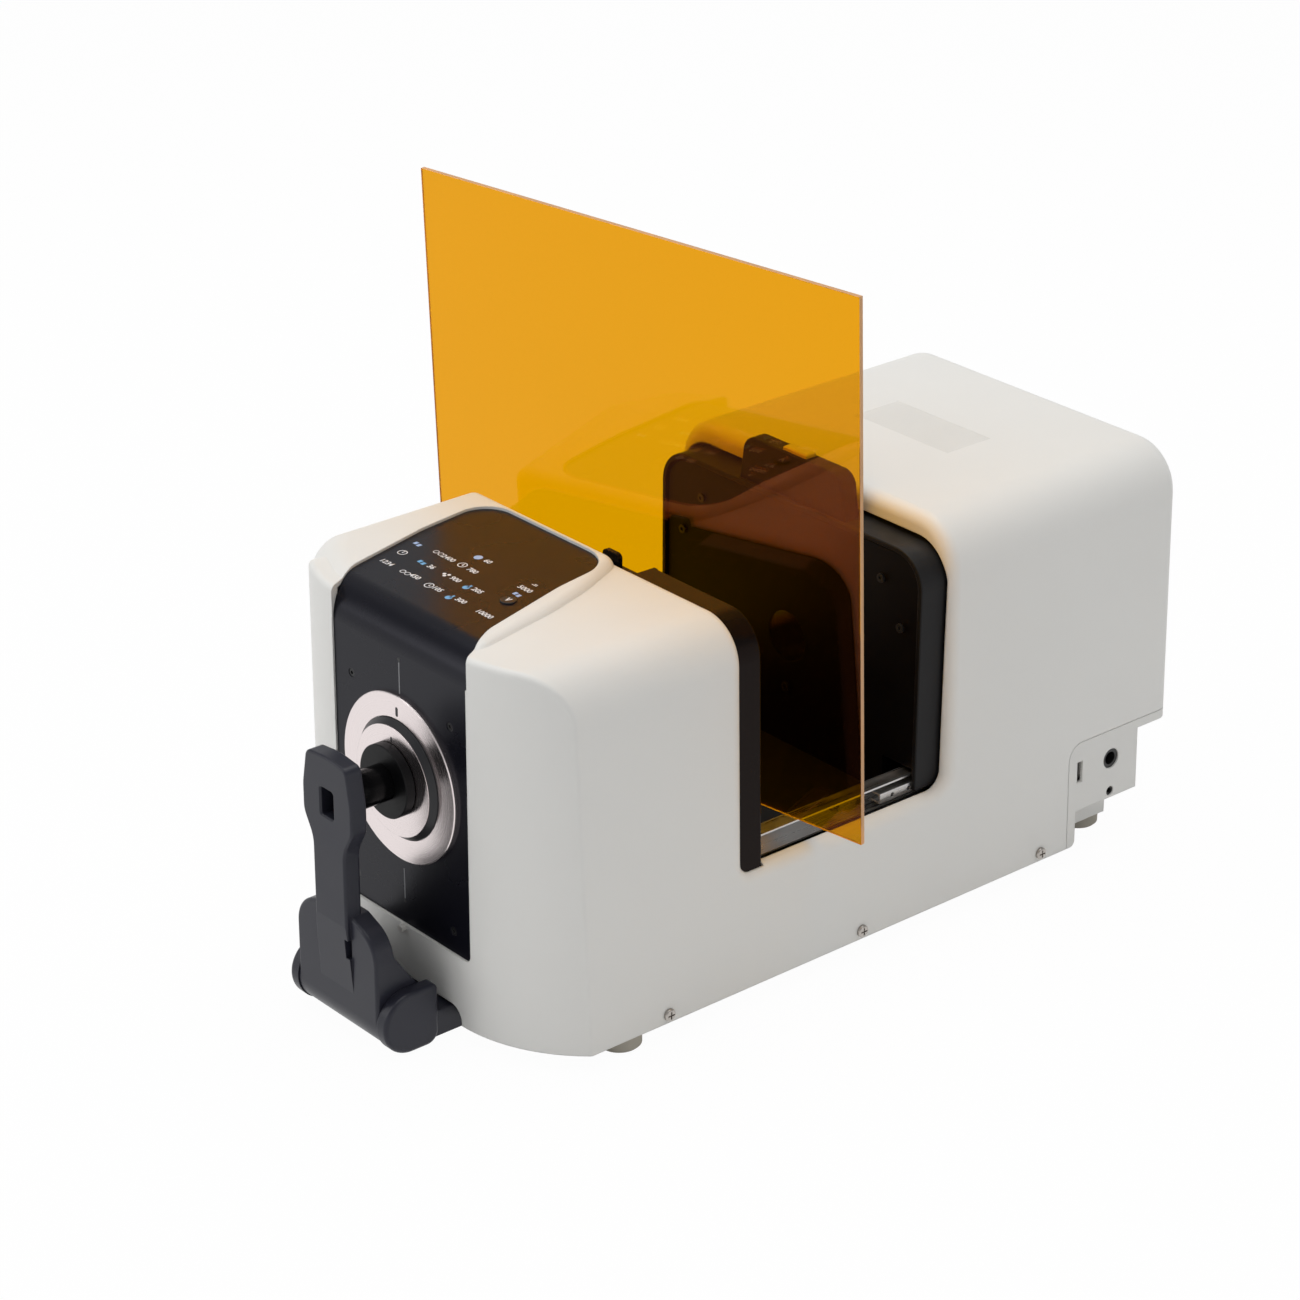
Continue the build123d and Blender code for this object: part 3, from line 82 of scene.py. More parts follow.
makeCamera(cameraView)
print("camera: set")


# small helpers for node trees

def addNode(tree, kind, inputs=None, **settings):
    node = tree.nodes.new(kind)
    for key, value in settings.items():
        setattr(node, key, value)
    for key, value in (inputs or {}).items():
        if isinstance(value, bpy.types.NodeSocket):
            tree.links.new(value, node.inputs[key])
        else:
            node.inputs[key].default_value = value
    return node


def newGroup(name, inputs, outputs):
    group = bpy.data.node_groups.new(name, "ShaderNodeTree")
    for label, kind, value in inputs:
        socket = group.interface.new_socket(name=label, in_out="INPUT", socket_type=kind)
        socket.default_value = value
    for label, kind in outputs:
        group.interface.new_socket(name=label, in_out="OUTPUT", socket_type=kind)
    return group, group.nodes.new("NodeGroupInput").outputs, group.nodes.new("NodeGroupOutput")


def calc(tree, operation, first, second):
    return addNode(tree, "ShaderNodeMath", {0: first, 1: second}, operation=operation).outputs[0]


def remap(tree, value, low, high, newLow, newHigh):
    return addNode(tree, "ShaderNodeMapRange", {"Value": value, "From Min": low, "From Max": high,
                                                "To Min": newLow, "To Max": newHigh}).outputs[0]


def vectorCalc(tree, operation, first, second):
    return addNode(tree, "ShaderNodeVectorMath", {0: first, 1: second}, operation=operation).outputs[0]


def mixColour(tree, mask, first, second):
    return addNode(tree, "ShaderNodeMix", {0: mask, 6: first, 7: second}, data_type="RGBA").outputs[2]


def objectNoise(tree, scale, detail, stretch=(1, 1, 1)):
    point = vectorCalc(tree, "MULTIPLY", addNode(tree, "ShaderNodeTexCoord").outputs["Object"], stretch)
    noise = addNode(tree, "ShaderNodeTexNoise", {"Vector": point, "Scale": scale, "Detail": detail})
    return noise.outputs[0]


noiseLow, noiseHigh = 0.3, 0.7    # where most of a noise lies


def around(tree, mask, centre, spread):
    low = calc(tree, "SUBTRACT", centre, spread)
    high = calc(tree, "ADD", centre, spread)
    return remap(tree, mask, noiseLow, noiseHigh, low, high)


def toned(tree, mask, colour, shade):
    value = around(tree, mask, 1.0, shade)
    return addNode(tree, "ShaderNodeHueSaturation", {"Color": colour, "Value": value}).outputs[0]


# effects that several materials share

midGrey = (0.5, 0.5, 0.5, 1)
baseInputs = [("Colour", "NodeSocketColor", midGrey), ("Shade", "NodeSocketFloat", 0.03),
              ("Roughness", "NodeSocketFloat", 0.4), ("Rough Spread", "NodeSocketFloat", 0.05)]
surfaceOutputs = [("Colour", "NodeSocketColor"), ("Roughness", "NodeSocketFloat"),
                  ("Height", "NodeSocketFloat")]


def sendOut(group, target, values):
    for label, socket in values.items():
        group.links.new(socket, target.inputs[label])


def sendSurface(group, given, out, mask, height):
    sendOut(group, out, {
        "Colour": toned(group, mask, given["Colour"], given["Shade"]),
        "Roughness": around(group, mask, given["Roughness"], given["Rough Spread"]),
        "Height": height})
    return group


def buildMouldedGrain():    # plastic and paint: slow clouds of tone, fine grain in relief
    group, given, out = newGroup("mouldedGrain", baseInputs + [
        ("Cloud Scale", "NodeSocketFloat", 9.0),
        ("Grain Scale", "NodeSocketFloat", 1500.0)], surfaceOutputs)
    clouds = objectNoise(group, given["Cloud Scale"], 3.0)
    grain = objectNoise(group, given["Grain Scale"], 2.0)
    return sendSurface(group, given, out, clouds, grain)


def buildBrushedStreaks():    # rolled or brushed metal: noise drawn out where the stretch is small
    group, given, out = newGroup("brushedStreaks", baseInputs + [
        ("Scale", "NodeSocketFloat", 300.0), ("Stretch", "NodeSocketVector", (1, 0.05, 1))], surfaceOutputs)
    streaks = objectNoise(group, given["Scale"], 4.0, given["Stretch"])
    return sendSurface(group, given, out, streaks, streaks)


def buildTurnedGrooves():    # lathe marks round an axis that runs front to back
    group, given, out = newGroup("turnedGrooves", baseInputs + [
        ("Centre", "NodeSocketVector", (0, 0, 0)),
        ("Groove Scale", "NodeSocketFloat", 2500.0)], surfaceOutputs)
    point = addNode(group, "ShaderNodeTexCoord").outputs["Object"]
    point = vectorCalc(group, "SUBTRACT", point, given["Centre"])
    point = vectorCalc(group, "MULTIPLY", point, (1, 0, 1))
    radius = addNode(group, "ShaderNodeVectorMath", {0: point}, operation="LENGTH").outputs["Value"]
    grooves = addNode(group, "ShaderNodeTexNoise", {"W": radius, "Scale": given["Groove Scale"],
                                                    "Detail": 2.0}, noise_dimensions="1D").outputs[0]
    return sendSurface(group, given, out, grooves, grooves)


edgeRubAndHighlight = {
    "flat": 0.98,         # the two normals agree this well on a face
    "sharp": 0.80,        # and this little on a sharp edge
    "patchScale": 160.0,
    "patchLow": 0.4, "patchHigh": 0.65, "patchLeast": 0.15,
}
dustFall = {
    "tilt": 0.3,          # faces that look up less than this stay clean
    "patchScale": 45.0,
    "patchLow": 0.35, "patchHigh": 0.7, "patchLeast": 0.2,
}
smudgeSpread = {"low": 0.48, "high": 0.68}


def patches(group, look, detail):
    noise = objectNoise(group, look["patchScale"], detail)
    return remap(group, noise, look["patchLow"], look["patchHigh"], look["patchLeast"], 1.0)


def buildEdgeWearAndHighlight():    # edges lightened where a rounded normal leaves the real one: partly rubbed wear, partly a painted highlight
    group, given, out = newGroup("edgeWearAndHighlight", [
        ("Colour", "NodeSocketColor", midGrey), ("Worn And Highlight Colour", "NodeSocketColor", (0.8, 0.8, 0.8, 1)),
        ("Reach", "NodeSocketFloat", 0.0006), ("Amount", "NodeSocketFloat", 0.5)],
        [("Colour", "NodeSocketColor"), ("Normal", "NodeSocketVector")])
    rounded = addNode(group, "ShaderNodeBevel", {"Radius": given["Reach"]}, samples=3).outputs[0]
    plain = addNode(group, "ShaderNodeNewGeometry").outputs["Normal"]
    agree = addNode(group, "ShaderNodeVectorMath", {0: rounded, 1: plain},
                    operation="DOT_PRODUCT").outputs["Value"]
    edge = remap(group, agree, edgeRubAndHighlight["flat"], edgeRubAndHighlight["sharp"], 0.0, 1.0)
    mask = calc(group, "MULTIPLY", edge, patches(group, edgeRubAndHighlight, 3.0))
    mask = calc(group, "MULTIPLY", mask, given["Amount"])
    # the lighter edge colour is partly wear and partly a painted highlight along the edges
    mixed = mixColour(group, mask, given["Colour"], given["Worn And Highlight Colour"])
    sendOut(group, out, {"Colour": mixed, "Normal": rounded})
    return group


def buildSettledDust():    # a little dust on what faces up
    group, given, out = newGroup("settledDust", [
        ("Colour", "NodeSocketColor", midGrey), ("Dust Colour", "NodeSocketColor", (0.6, 0.58, 0.54, 1)),
        ("Amount", "NodeSocketFloat", 0.05)], [("Colour", "NodeSocketColor")])
    normal = addNode(group, "ShaderNodeNewGeometry").outputs["Normal"]
    upward = addNode(group, "ShaderNodeSeparateXYZ", {0: normal}).outputs["Z"]
    facing = remap(group, upward, dustFall["tilt"], 1.0, 0.0, 1.0)
    mask = calc(group, "MULTIPLY", facing, patches(group, dustFall, 5.0))
    mask = calc(group, "MULTIPLY", mask, given["Amount"])
    sendOut(group, out, {"Colour": mixColour(group, mask, given["Colour"], given["Dust Colour"])})
    return group


def buildFingerSmudge():    # smooth film and acrylic: faint handling marks in the gloss
    group, given, out = newGroup("fingerSmudge", [
        ("Roughness", "NodeSocketFloat", 0.2), ("Smudge", "NodeSocketFloat", 0.08),
        ("Scale", "NodeSocketFloat", 40.0)], [("Roughness", "NodeSocketFloat")])
    noise = objectNoise(group, given["Scale"], 6.0)
    marks = remap(group, noise, smudgeSpread["low"], smudgeSpread["high"], 0.0, 1.0)
    marks = calc(group, "MULTIPLY", marks, given["Smudge"])
    sendOut(group, out, {"Roughness": calc(group, "ADD", given["Roughness"], marks)})
    return group


effects = {
    "grain": buildMouldedGrain(),
    "streaks": buildBrushedStreaks(),
    "grooves": buildTurnedGrooves(),
    "wearAndHighlight": buildEdgeWearAndHighlight(),
    "dust": buildSettledDust(),
    "smudge": buildFingerSmudge(),
}
print("effects: node groups are built")


# materials

reliefStrength = {"solid": 0.3, "clear": 0.2}


def useEffect(tree, name, values, **links):
    node = addNode(tree, "ShaderNodeGroup", node_tree=effects[name])
    for key, value in values.items():
        node.inputs[key].default_value = value
    for key, socket in links.items():
        tree.links.new(socket, node.inputs[key])
    return node.outputs


def startMaterial(name, shaderValues):
    material = bpy.data.materials.new(name)
    material.use_nodes = True
    tree = material.node_tree
    shader = tree.nodes["Principled BSDF"]
    for key, value in shaderValues.items():
        shader.inputs[key].default_value = value
    return material, tree, shader


def makeFinish(name, look):
    material, tree, shader = startMaterial(name, look["shader"])
    surface = useEffect(tree, look["surface"], look["values"])
    colour = surface["Colour"]
    rough = surface["Roughness"]
    bump = addNode(tree, "ShaderNodeBump", {"Height": surface["Height"], "Distance": look["relief"],
                                            "Strength": reliefStrength["solid"]})
    # lighter edges: partly rubbed wear, partly a painted highlight
    if "wearAndHighlight" in look:
        wornAndHighlit = useEffect(tree, "wearAndHighlight", look["wearAndHighlight"], Colour=colour)
        colour = wornAndHighlit["Colour"]
        tree.links.new(wornAndHighlit["Normal"], bump.inputs["Normal"])    # edges catch the light as if rounded
    if "dust" in look:
        colour = useEffect(tree, "dust", look["dust"], Colour=colour)["Colour"]
    if "smudge" in look:
        rough = useEffect(tree, "smudge", look["smudge"], Roughness=rough)["Roughness"]
    tree.links.new(colour, shader.inputs["Base Color"])
    tree.links.new(rough, shader.inputs["Roughness"])
    tree.links.new(bump.outputs[0], shader.inputs["Normal"])
    return material


axisCentre = (0, 0, 0.1455)    # the measuring axis, front to back

coverWhite = {
    "shader": {"Specular IOR Level": 0.35},
    "surface": "grain",
    "values": {"Colour": (0.78, 0.772, 0.74, 1), "Shade": 0.012, "Roughness": 0.46, "Rough Spread": 0.05,
               "Cloud Scale": 7.0, "Grain Scale": 1800.0},
    # the lighter edge colour on the white cover is a painted highlight along its edges, partly wear
    "wearAndHighlight": {"Worn And Highlight Colour": (0.83, 0.825, 0.80, 1), "Reach": 0.0012, "Amount": 0.35},
    "dust": {"Dust Colour": (0.66, 0.64, 0.60, 1), "Amount": 0.06},
    "relief": 0.00008,
}
baseWhite = {
    "shader": {"Specular IOR Level": 0.3},
    "surface": "grain",
    "values": {"Colour": (0.76, 0.752, 0.72, 1), "Shade": 0.02, "Roughness": 0.52, "Rough Spread": 0.05,
               "Cloud Scale": 11.0, "Grain Scale": 1300.0},
    "wearAndHighlight": {"Worn And Highlight Colour": (0.82, 0.81, 0.79, 1), "Reach": 0.0008, "Amount": 0.3},
    "relief": 0.0001,
}
footRubber = {
    "shader": {"Specular IOR Level": 0.3},
    "surface": "grain",
    "values": {"Colour": (0.42, 0.39, 0.33, 1), "Shade": 0.06, "Roughness": 0.75, "Rough Spread": 0.08,
               "Cloud Scale": 60.0, "Grain Scale": 2200.0},
    "dust": {"Dust Colour": (0.55, 0.52, 0.47, 1), "Amount": 0.25},
    "relief": 0.00015,
}
panelFilm = {
    # the bluish Specular Tint colours the panel's reflections blue-grey: a painted reflection colour
    "shader": {"Specular IOR Level": 0.2, "Specular Tint": (0.85, 0.85, 1.0, 1)},
    "surface": "grain",
    "values": {"Colour": (0.0045, 0.0045, 0.0075, 1), "Shade": 0.08, "Roughness": 0.27,
               "Rough Spread": 0.015, "Cloud Scale": 14.0, "Grain Scale": 2600.0},
    "wearAndHighlight": {"Worn And Highlight Colour": (0.05, 0.05, 0.055, 1), "Reach": 0.0006, "Amount": 0.4},
    "smudge": {"Smudge": 0.02, "Scale": 18.0},
    "relief": 0.00002,
}
maskBlack = {
    "shader": {"Specular IOR Level": 0.4},
    "surface": "grooves",
    "values": {"Colour": (0.012, 0.012, 0.014, 1), "Shade": 0.1, "Roughness": 0.4, "Rough Spread": 0.06,
               "Centre": axisCentre, "Groove Scale": 1800.0},
    "wearAndHighlight": {"Worn And Highlight Colour": (0.12, 0.12, 0.125, 1), "Reach": 0.0005, "Amount": 0.5},
    "relief": 0.00004,
}
hoodPaint = {
    "shader": {"Specular IOR Level": 0.14},
    "surface": "grain",
    "values": {"Colour": (0.008, 0.0075, 0.008, 1), "Shade": 0.1, "Roughness": 0.42, "Rough Spread": 0.05,
               "Cloud Scale": 18.0, "Grain Scale": 1400.0},
    "wearAndHighlight": {"Worn And Highlight Colour": (0.11, 0.105, 0.10, 1), "Reach": 0.0006, "Amount": 0.55},
    "dust": {"Dust Colour": (0.30, 0.29, 0.27, 1), "Amount": 0.08},
    "relief": 0.00012,
}
bandGloss = {
    # the warm Specular Tint colours the band's reflections brown: a painted reflection of the amber sheet
    "shader": {"Specular IOR Level": 0.1, "Specular Tint": (1.0, 0.6, 0.45, 1)},
    "surface": "grain",
    "values": {"Colour": (0.004, 0.004, 0.0045, 1), "Shade": 0.1, "Roughness": 0.15, "Rough Spread": 0.02,
               "Cloud Scale": 12.0, "Grain Scale": 900.0},
    "wearAndHighlight": {"Worn And Highlight Colour": (0.04, 0.04, 0.042, 1), "Reach": 0.0005, "Amount": 0.4},
    "relief": 0.00001,
}
chamberBlack = {
    "shader": {"Specular IOR Level": 0.12},
    "surface": "grain",
    "values": {"Colour": (0.0025, 0.0018, 0.0018, 1), "Shade": 0.1, "Roughness": 0.45, "Rough Spread": 0.05,
               "Cloud Scale": 16.0, "Grain Scale": 1400.0},
    "wearAndHighlight": {"Worn And Highlight Colour": (0.03, 0.029, 0.028, 1), "Reach": 0.0005, "Amount": 0.4},
    "relief": 0.00008,
}
holderSlate = {
    "shader": {"Specular IOR Level": 0.3},
    "surface": "grain",
    "values": {"Colour": (0.018, 0.0185, 0.028, 1), "Shade": 0.08, "Roughness": 0.36, "Rough Spread": 0.05,
               "Cloud Scale": 25.0, "Grain Scale": 2000.0},
    "wearAndHighlight": {"Worn And Highlight Colour": (0.075, 0.078, 0.088, 1), "Reach": 0.0007, "Amount": 0.5},
    "relief": 0.00006,
}
padBlack = {
    "shader": {"Specular IOR Level": 0.15},
    "surface": "grain",
    "values": {"Colour": (0.004, 0.004, 0.0045, 1), "Shade": 0.1, "Roughness": 0.4, "Rough Spread": 0.05,
               "Cloud Scale": 50.0, "Grain Scale": 2400.0},
    "wearAndHighlight": {"Worn And Highlight Colour": (0.03, 0.03, 0.032, 1), "Reach": 0.0005, "Amount": 0.4},
    "relief": 0.0001,
}
shaftGloss = {
    "shader": {"Specular IOR Level": 0.1},
    "surface": "grain",
    "values": {"Colour": (0.003, 0.003, 0.0033, 1), "Shade": 0.1, "Roughness": 0.16, "Rough Spread": 0.04,
               "Cloud Scale": 80.0, "Grain Scale": 2000.0},
    "wearAndHighlight": {"Worn And Highlight Colour": (0.05, 0.05, 0.052, 1), "Reach": 0.0004, "Amount": 0.4},
    "relief": 0.00002,
}
socketBlack = {
    "shader": {"Specular IOR Level": 0.45},
    "surface": "grain",
    "values": {"Colour": (0.012, 0.012, 0.012, 1), "Shade": 0.08, "Roughness": 0.35, "Rough Spread": 0.05,
               "Cloud Scale": 90.0, "Grain Scale": 2500.0},
    "wearAndHighlight": {"Worn And Highlight Colour": (0.05, 0.05, 0.05, 1), "Reach": 0.0003, "Amount": 0.4},
    "relief": 0.00005,
}
socketSteel = {
    "shader": {"Metallic": 1.0},
    "surface": "streaks",
    "values": {"Colour": (0.58, 0.57, 0.55, 1), "Shade": 0.06, "Roughness": 0.3, "Rough Spread": 0.06,
               "Scale": 900.0, "Stretch": (1, 0.08, 1)},
    "wearAndHighlight": {"Worn And Highlight Colour": (0.72, 0.71, 0.69, 1), "Reach": 0.0003, "Amount": 0.5},
    "relief": 0.00002,
}
screwSteel = {
    "shader": {"Metallic": 1.0},
    "surface": "grain",
    "values": {"Colour": (0.42, 0.39, 0.36, 1), "Shade": 0.1, "Roughness": 0.34, "Rough Spread": 0.08,
               "Cloud Scale": 220.0, "Grain Scale": 3000.0},
    "wearAndHighlight": {"Worn And Highlight Colour": (0.62, 0.60, 0.57, 1), "Reach": 0.0003, "Amount": 0.7},
    "relief": 0.00004,
}
screwBlack = {
    "shader": {"Metallic": 0.4},
    "surface": "grain",
    "values": {"Colour": (0.014, 0.014, 0.015, 1), "Shade": 0.1, "Roughness": 0.38, "Rough Spread": 0.08,
               "Cloud Scale": 220.0, "Grain Scale": 3000.0},
    "wearAndHighlight": {"Worn And Highlight Colour": (0.10, 0.10, 0.10, 1), "Reach": 0.0003, "Amount": 0.6},
    "relief": 0.00004,
}
pinSteel = {
    "shader": {"Metallic": 1.0},
    "surface": "streaks",
    "values": {"Colour": (0.50, 0.49, 0.48, 1), "Shade": 0.07, "Roughness": 0.25, "Rough Spread": 0.06,
               "Scale": 1200.0, "Stretch": (1, 0.05, 0.05)},
    "wearAndHighlight": {"Worn And Highlight Colour": (0.68, 0.67, 0.65, 1), "Reach": 0.0003, "Amount": 0.5},
    "relief": 0.00002,
}
ringMetal = {
    "shader": {"Metallic": 1.0},
    "surface": "grooves",
    "values": {"Colour": (0.80, 0.72, 0.715, 1), "Shade": 0.03, "Roughness": 0.24, "Rough Spread": 0.04,
               "Centre": axisCentre, "Groove Scale": 3200.0},
    "wearAndHighlight": {"Worn And Highlight Colour": (0.80, 0.77, 0.76, 1), "Reach": 0.0004, "Amount": 0.6},
    "relief": 0.00001,
}
tubeAluminium = {
    "shader": {"Metallic": 1.0},
    "surface": "grooves",
    "values": {"Colour": (0.60, 0.60, 0.60, 1), "Shade": 0.05, "Roughness": 0.36, "Rough Spread": 0.06,
               "Centre": axisCentre, "Groove Scale": 1500.0},
    "wearAndHighlight": {"Worn And Highlight Colour": (0.76, 0.76, 0.76, 1), "Reach": 0.0004, "Amount": 0.5},
    "relief": 0.00003,
}
boxAluminium = {
    "shader": {"Metallic": 1.0},
    "surface": "streaks",
    "values": {"Colour": (0.56, 0.56, 0.57, 1), "Shade": 0.06, "Roughness": 0.42, "Rough Spread": 0.06,
               "Scale": 420.0, "Stretch": (0.05, 1, 1)},
    "wearAndHighlight": {"Worn And Highlight Colour": (0.74, 0.74, 0.74, 1), "Reach": 0.0005, "Amount": 0.5},
    "relief": 0.00002,
}
railSteel = {
    "shader": {"Metallic": 1.0},
    "surface": "streaks",
    "values": {"Colour": (0.56, 0.55, 0.54, 1), "Shade": 0.08, "Roughness": 0.3, "Rough Spread": 0.08,
               "Scale": 500.0, "Stretch": (1, 0.03, 1)},
    "wearAndHighlight": {"Worn And Highlight Colour": (0.74, 0.73, 0.71, 1), "Reach": 0.0003, "Amount": 0.6},
    "smudge": {"Smudge": 0.1, "Scale": 60.0},
    "relief": 0.00002,
}
bracketSteel = {
    "shader": {"Metallic": 1.0},
    "surface": "streaks",
    "values": {"Colour": (0.48, 0.48, 0.48, 1), "Shade": 0.07, "Roughness": 0.42, "Rough Spread": 0.08,
               "Scale": 380.0, "Stretch": (1, 0.06, 1)},
    "wearAndHighlight": {"Worn And Highlight Colour": (0.66, 0.66, 0.65, 1), "Reach": 0.0004, "Amount": 0.5},
    "relief": 0.00003,
}
cageSteel = {
    "shader": {"Metallic": 1.0},
    "surface": "streaks",
    "values": {"Colour": (0.62, 0.61, 0.60, 1), "Shade": 0.06, "Roughness": 0.24, "Rough Spread": 0.06,
               "Scale": 700.0, "Stretch": (1, 0.05, 1)},
    "relief": 0.00001,
}
floorSteel = {
    "shader": {"Specular IOR Level": 0.15},
    "surface": "grain",
    "values": {"Colour": (0.006, 0.006, 0.0062, 1), "Shade": 0.08, "Roughness": 0.5, "Rough Spread": 0.06,
               "Cloud Scale": 14.0, "Grain Scale": 1300.0},
    "dust": {"Dust Colour": (0.06, 0.058, 0.054, 1), "Amount": 0.1},
    "relief": 0.0001,
}
supplySteel = {
    "shader": {"Metallic": 1.0},
    "surface": "streaks",
    "values": {"Colour": (0.50, 0.51, 0.52, 1), "Shade": 0.1, "Roughness": 0.45, "Rough Spread": 0.08,
               "Scale": 160.0, "Stretch": (1, 0.4, 0.1)},
    "wearAndHighlight": {"Worn And Highlight Colour": (0.68, 0.68, 0.68, 1), "Reach": 0.0005, "Amount": 0.5},
    "relief": 0.00004,
}
capacitorSleeve = {
    "shader": {"Specular IOR Level": 0.5},
    "surface": "grain",
    "values": {"Colour": (0.014, 0.018, 0.035, 1), "Shade": 0.1, "Roughness": 0.3, "Rough Spread": 0.06,
               "Cloud Scale": 60.0, "Grain Scale": 1500.0},
    "wearAndHighlight": {"Worn And Highlight Colour": (0.06, 0.065, 0.09, 1), "Reach": 0.0006, "Amount": 0.4},
    "relief": 0.00005,
}
boardGreen = {
    "shader": {"Specular IOR Level": 0.5, "Coat Weight": 0.25, "Coat Roughness": 0.15},
    "surface": "streaks",
    "values": {"Colour": (0.012, 0.10, 0.035, 1), "Shade": 0.2, "Roughness": 0.38, "Rough Spread": 0.08,
               "Scale": 260.0, "Stretch": (1, 1, 0.2)},
    "wearAndHighlight": {"Worn And Highlight Colour": (0.20, 0.22, 0.10, 1), "Reach": 0.0004, "Amount": 0.5},
    "relief": 0.00004,
}
sphereWhite = {
    "shader": {"Specular IOR Level": 0.2},
    "surface": "grain",
    "values": {"Colour": (0.86, 0.86, 0.84, 1), "Shade": 0.01, "Roughness": 0.85, "Rough Spread": 0.05,
               "Cloud Scale": 16.0, "Grain Scale": 1200.0},
    "wearAndHighlight": {"Worn And Highlight Colour": (0.70, 0.69, 0.66, 1), "Reach": 0.0006, "Amount": 0.3},
    "relief": 0.0001,
}
cradlePlastic = {
    "shader": {"Specular IOR Level": 0.4},
    "surface": "grain",
    "values": {"Colour": (0.035, 0.036, 0.04, 1), "Shade": 0.06, "Roughness": 0.5, "Rough Spread": 0.06,
               "Cloud Scale": 30.0, "Grain Scale": 1500.0},
    "wearAndHighlight": {"Worn And Highlight Colour": (0.09, 0.09, 0.095, 1), "Reach": 0.0006, "Amount": 0.4},
    "relief": 0.0001,
}
cameraBlack = {
    "shader": {"Specular IOR Level": 0.45},
    "surface": "grain",
    "values": {"Colour": (0.012, 0.012, 0.013, 1), "Shade": 0.06, "Roughness": 0.45, "Rough Spread": 0.06,
               "Cloud Scale": 60.0, "Grain Scale": 2200.0},
    "wearAndHighlight": {"Worn And Highlight Colour": (0.07, 0.07, 0.07, 1), "Reach": 0.0004, "Amount": 0.4},
    "relief": 0.00006,
}
pegWhite = {
    "shader": {"Specular IOR Level": 0.4},
    "surface": "grain",
    "values": {"Colour": (0.72, 0.70, 0.66, 1), "Shade": 0.03, "Roughness": 0.4, "Rough Spread": 0.05,
               "Cloud Scale": 120.0, "Grain Scale": 2600.0},
    "wearAndHighlight": {"Worn And Highlight Colour": (0.80, 0.79, 0.77, 1), "Reach": 0.0003, "Amount": 0.4},
    "relief": 0.00004,
}
buttonBlack = {
    "shader": {"Specular IOR Level": 0.4},
    "surface": "grain",
    "values": {"Colour": (0.010, 0.009, 0.010, 1), "Shade": 0.08, "Roughness": 0.42, "Rough Spread": 0.05,
               "Cloud Scale": 120.0, "Grain Scale": 2800.0},
    "wearAndHighlight": {"Worn And Highlight Colour": (0.05, 0.045, 0.045, 1), "Reach": 0.0004, "Amount": 0.5},
    "smudge": {"Smudge": 0.12, "Scale": 180.0},
    "relief": 0.00004,
}
keyWhite = {
    "shader": {"Specular IOR Level": 0.35},
    "surface": "grain",
    "values": {"Colour": (0.70, 0.69, 0.66, 1), "Shade": 0.03, "Roughness": 0.45, "Rough Spread": 0.05,
               "Cloud Scale": 90.0, "Grain Scale": 2200.0},
    "wearAndHighlight": {"Worn And Highlight Colour": (0.80, 0.79, 0.77, 1), "Reach": 0.0004, "Amount": 0.4},
    "relief": 0.00006,
}
stopPlastic = {
    "shader": {"Specular IOR Level": 0.4},
    "surface": "grain",
    "values": {"Colour": (0.05, 0.05, 0.052, 1), "Shade": 0.06, "Roughness": 0.5, "Rough Spread": 0.05,
               "Cloud Scale": 90.0, "Grain Scale": 1900.0},
    "wearAndHighlight": {"Worn And Highlight Colour": (0.12, 0.12, 0.12, 1), "Reach": 0.0004, "Amount": 0.4},
    "relief": 0.00006,
}
chainBlack = {
    "shader": {"Specular IOR Level": 0.4},
    "surface": "grain",
    "values": {"Colour": (0.045, 0.045, 0.05, 1), "Shade": 0.08, "Roughness": 0.48, "Rough Spread": 0.06,
               "Cloud Scale": 90.0, "Grain Scale": 2000.0},
    "wearAndHighlight": {"Worn And Highlight Colour": (0.06, 0.06, 0.06, 1), "Reach": 0.0003, "Amount": 0.4},
    "relief": 0.00006,
}

finishes = {
    "cover_white": makeFinish("coverWhite", coverWhite),
    "base_white": makeFinish("baseWhite", baseWhite),
    "foot_rubber": makeFinish("footRubber", footRubber),
    "panel_black": makeFinish("hoodPaint", hoodPaint),
    "holder_slate": makeFinish("holderSlate", holderSlate),
    "pad_black": makeFinish("padBlack", padBlack),
    "socket_black": makeFinish("socketBlack", socketBlack),
    "socket_steel": makeFinish("socketSteel", socketSteel),
    "screw_steel": makeFinish("screwSteel", screwSteel),
    "screw_black": makeFinish("screwBlack", screwBlack),
    "pin_steel": makeFinish("pinSteel", pinSteel),
    "ring_metal": makeFinish("ringMetal", ringMetal),
    "tube_aluminium": makeFinish("tubeAluminium", tubeAluminium),
    "box_aluminium": makeFinish("boxAluminium", boxAluminium),
    "rail_steel": makeFinish("railSteel", railSteel),
    "bracket_steel": makeFinish("bracketSteel", bracketSteel),
    "cage_steel": makeFinish("cageSteel", cageSteel),
    "floor_steel": makeFinish("floorSteel", floorSteel),
    "supply_steel": makeFinish("supplySteel", supplySteel),
    "capacitor_sleeve": makeFinish("capacitorSleeve", capacitorSleeve),
    "board_green": makeFinish("boardGreen", boardGreen),
    "sphere_white": makeFinish("sphereWhite", sphereWhite),
    "cradle_plastic": makeFinish("cradlePlastic", cradlePlastic),
    "camera_black": makeFinish("cameraBlack", cameraBlack),
    "peg_white": makeFinish("pegWhite", pegWhite),
    "button_black": makeFinish("buttonBlack", buttonBlack),
    "key_white": makeFinish("keyWhite", keyWhite),
    "stop_plastic": makeFinish("stopPlastic", stopPlastic),
    "chain_black": makeFinish("chainBlack", chainBlack),
}
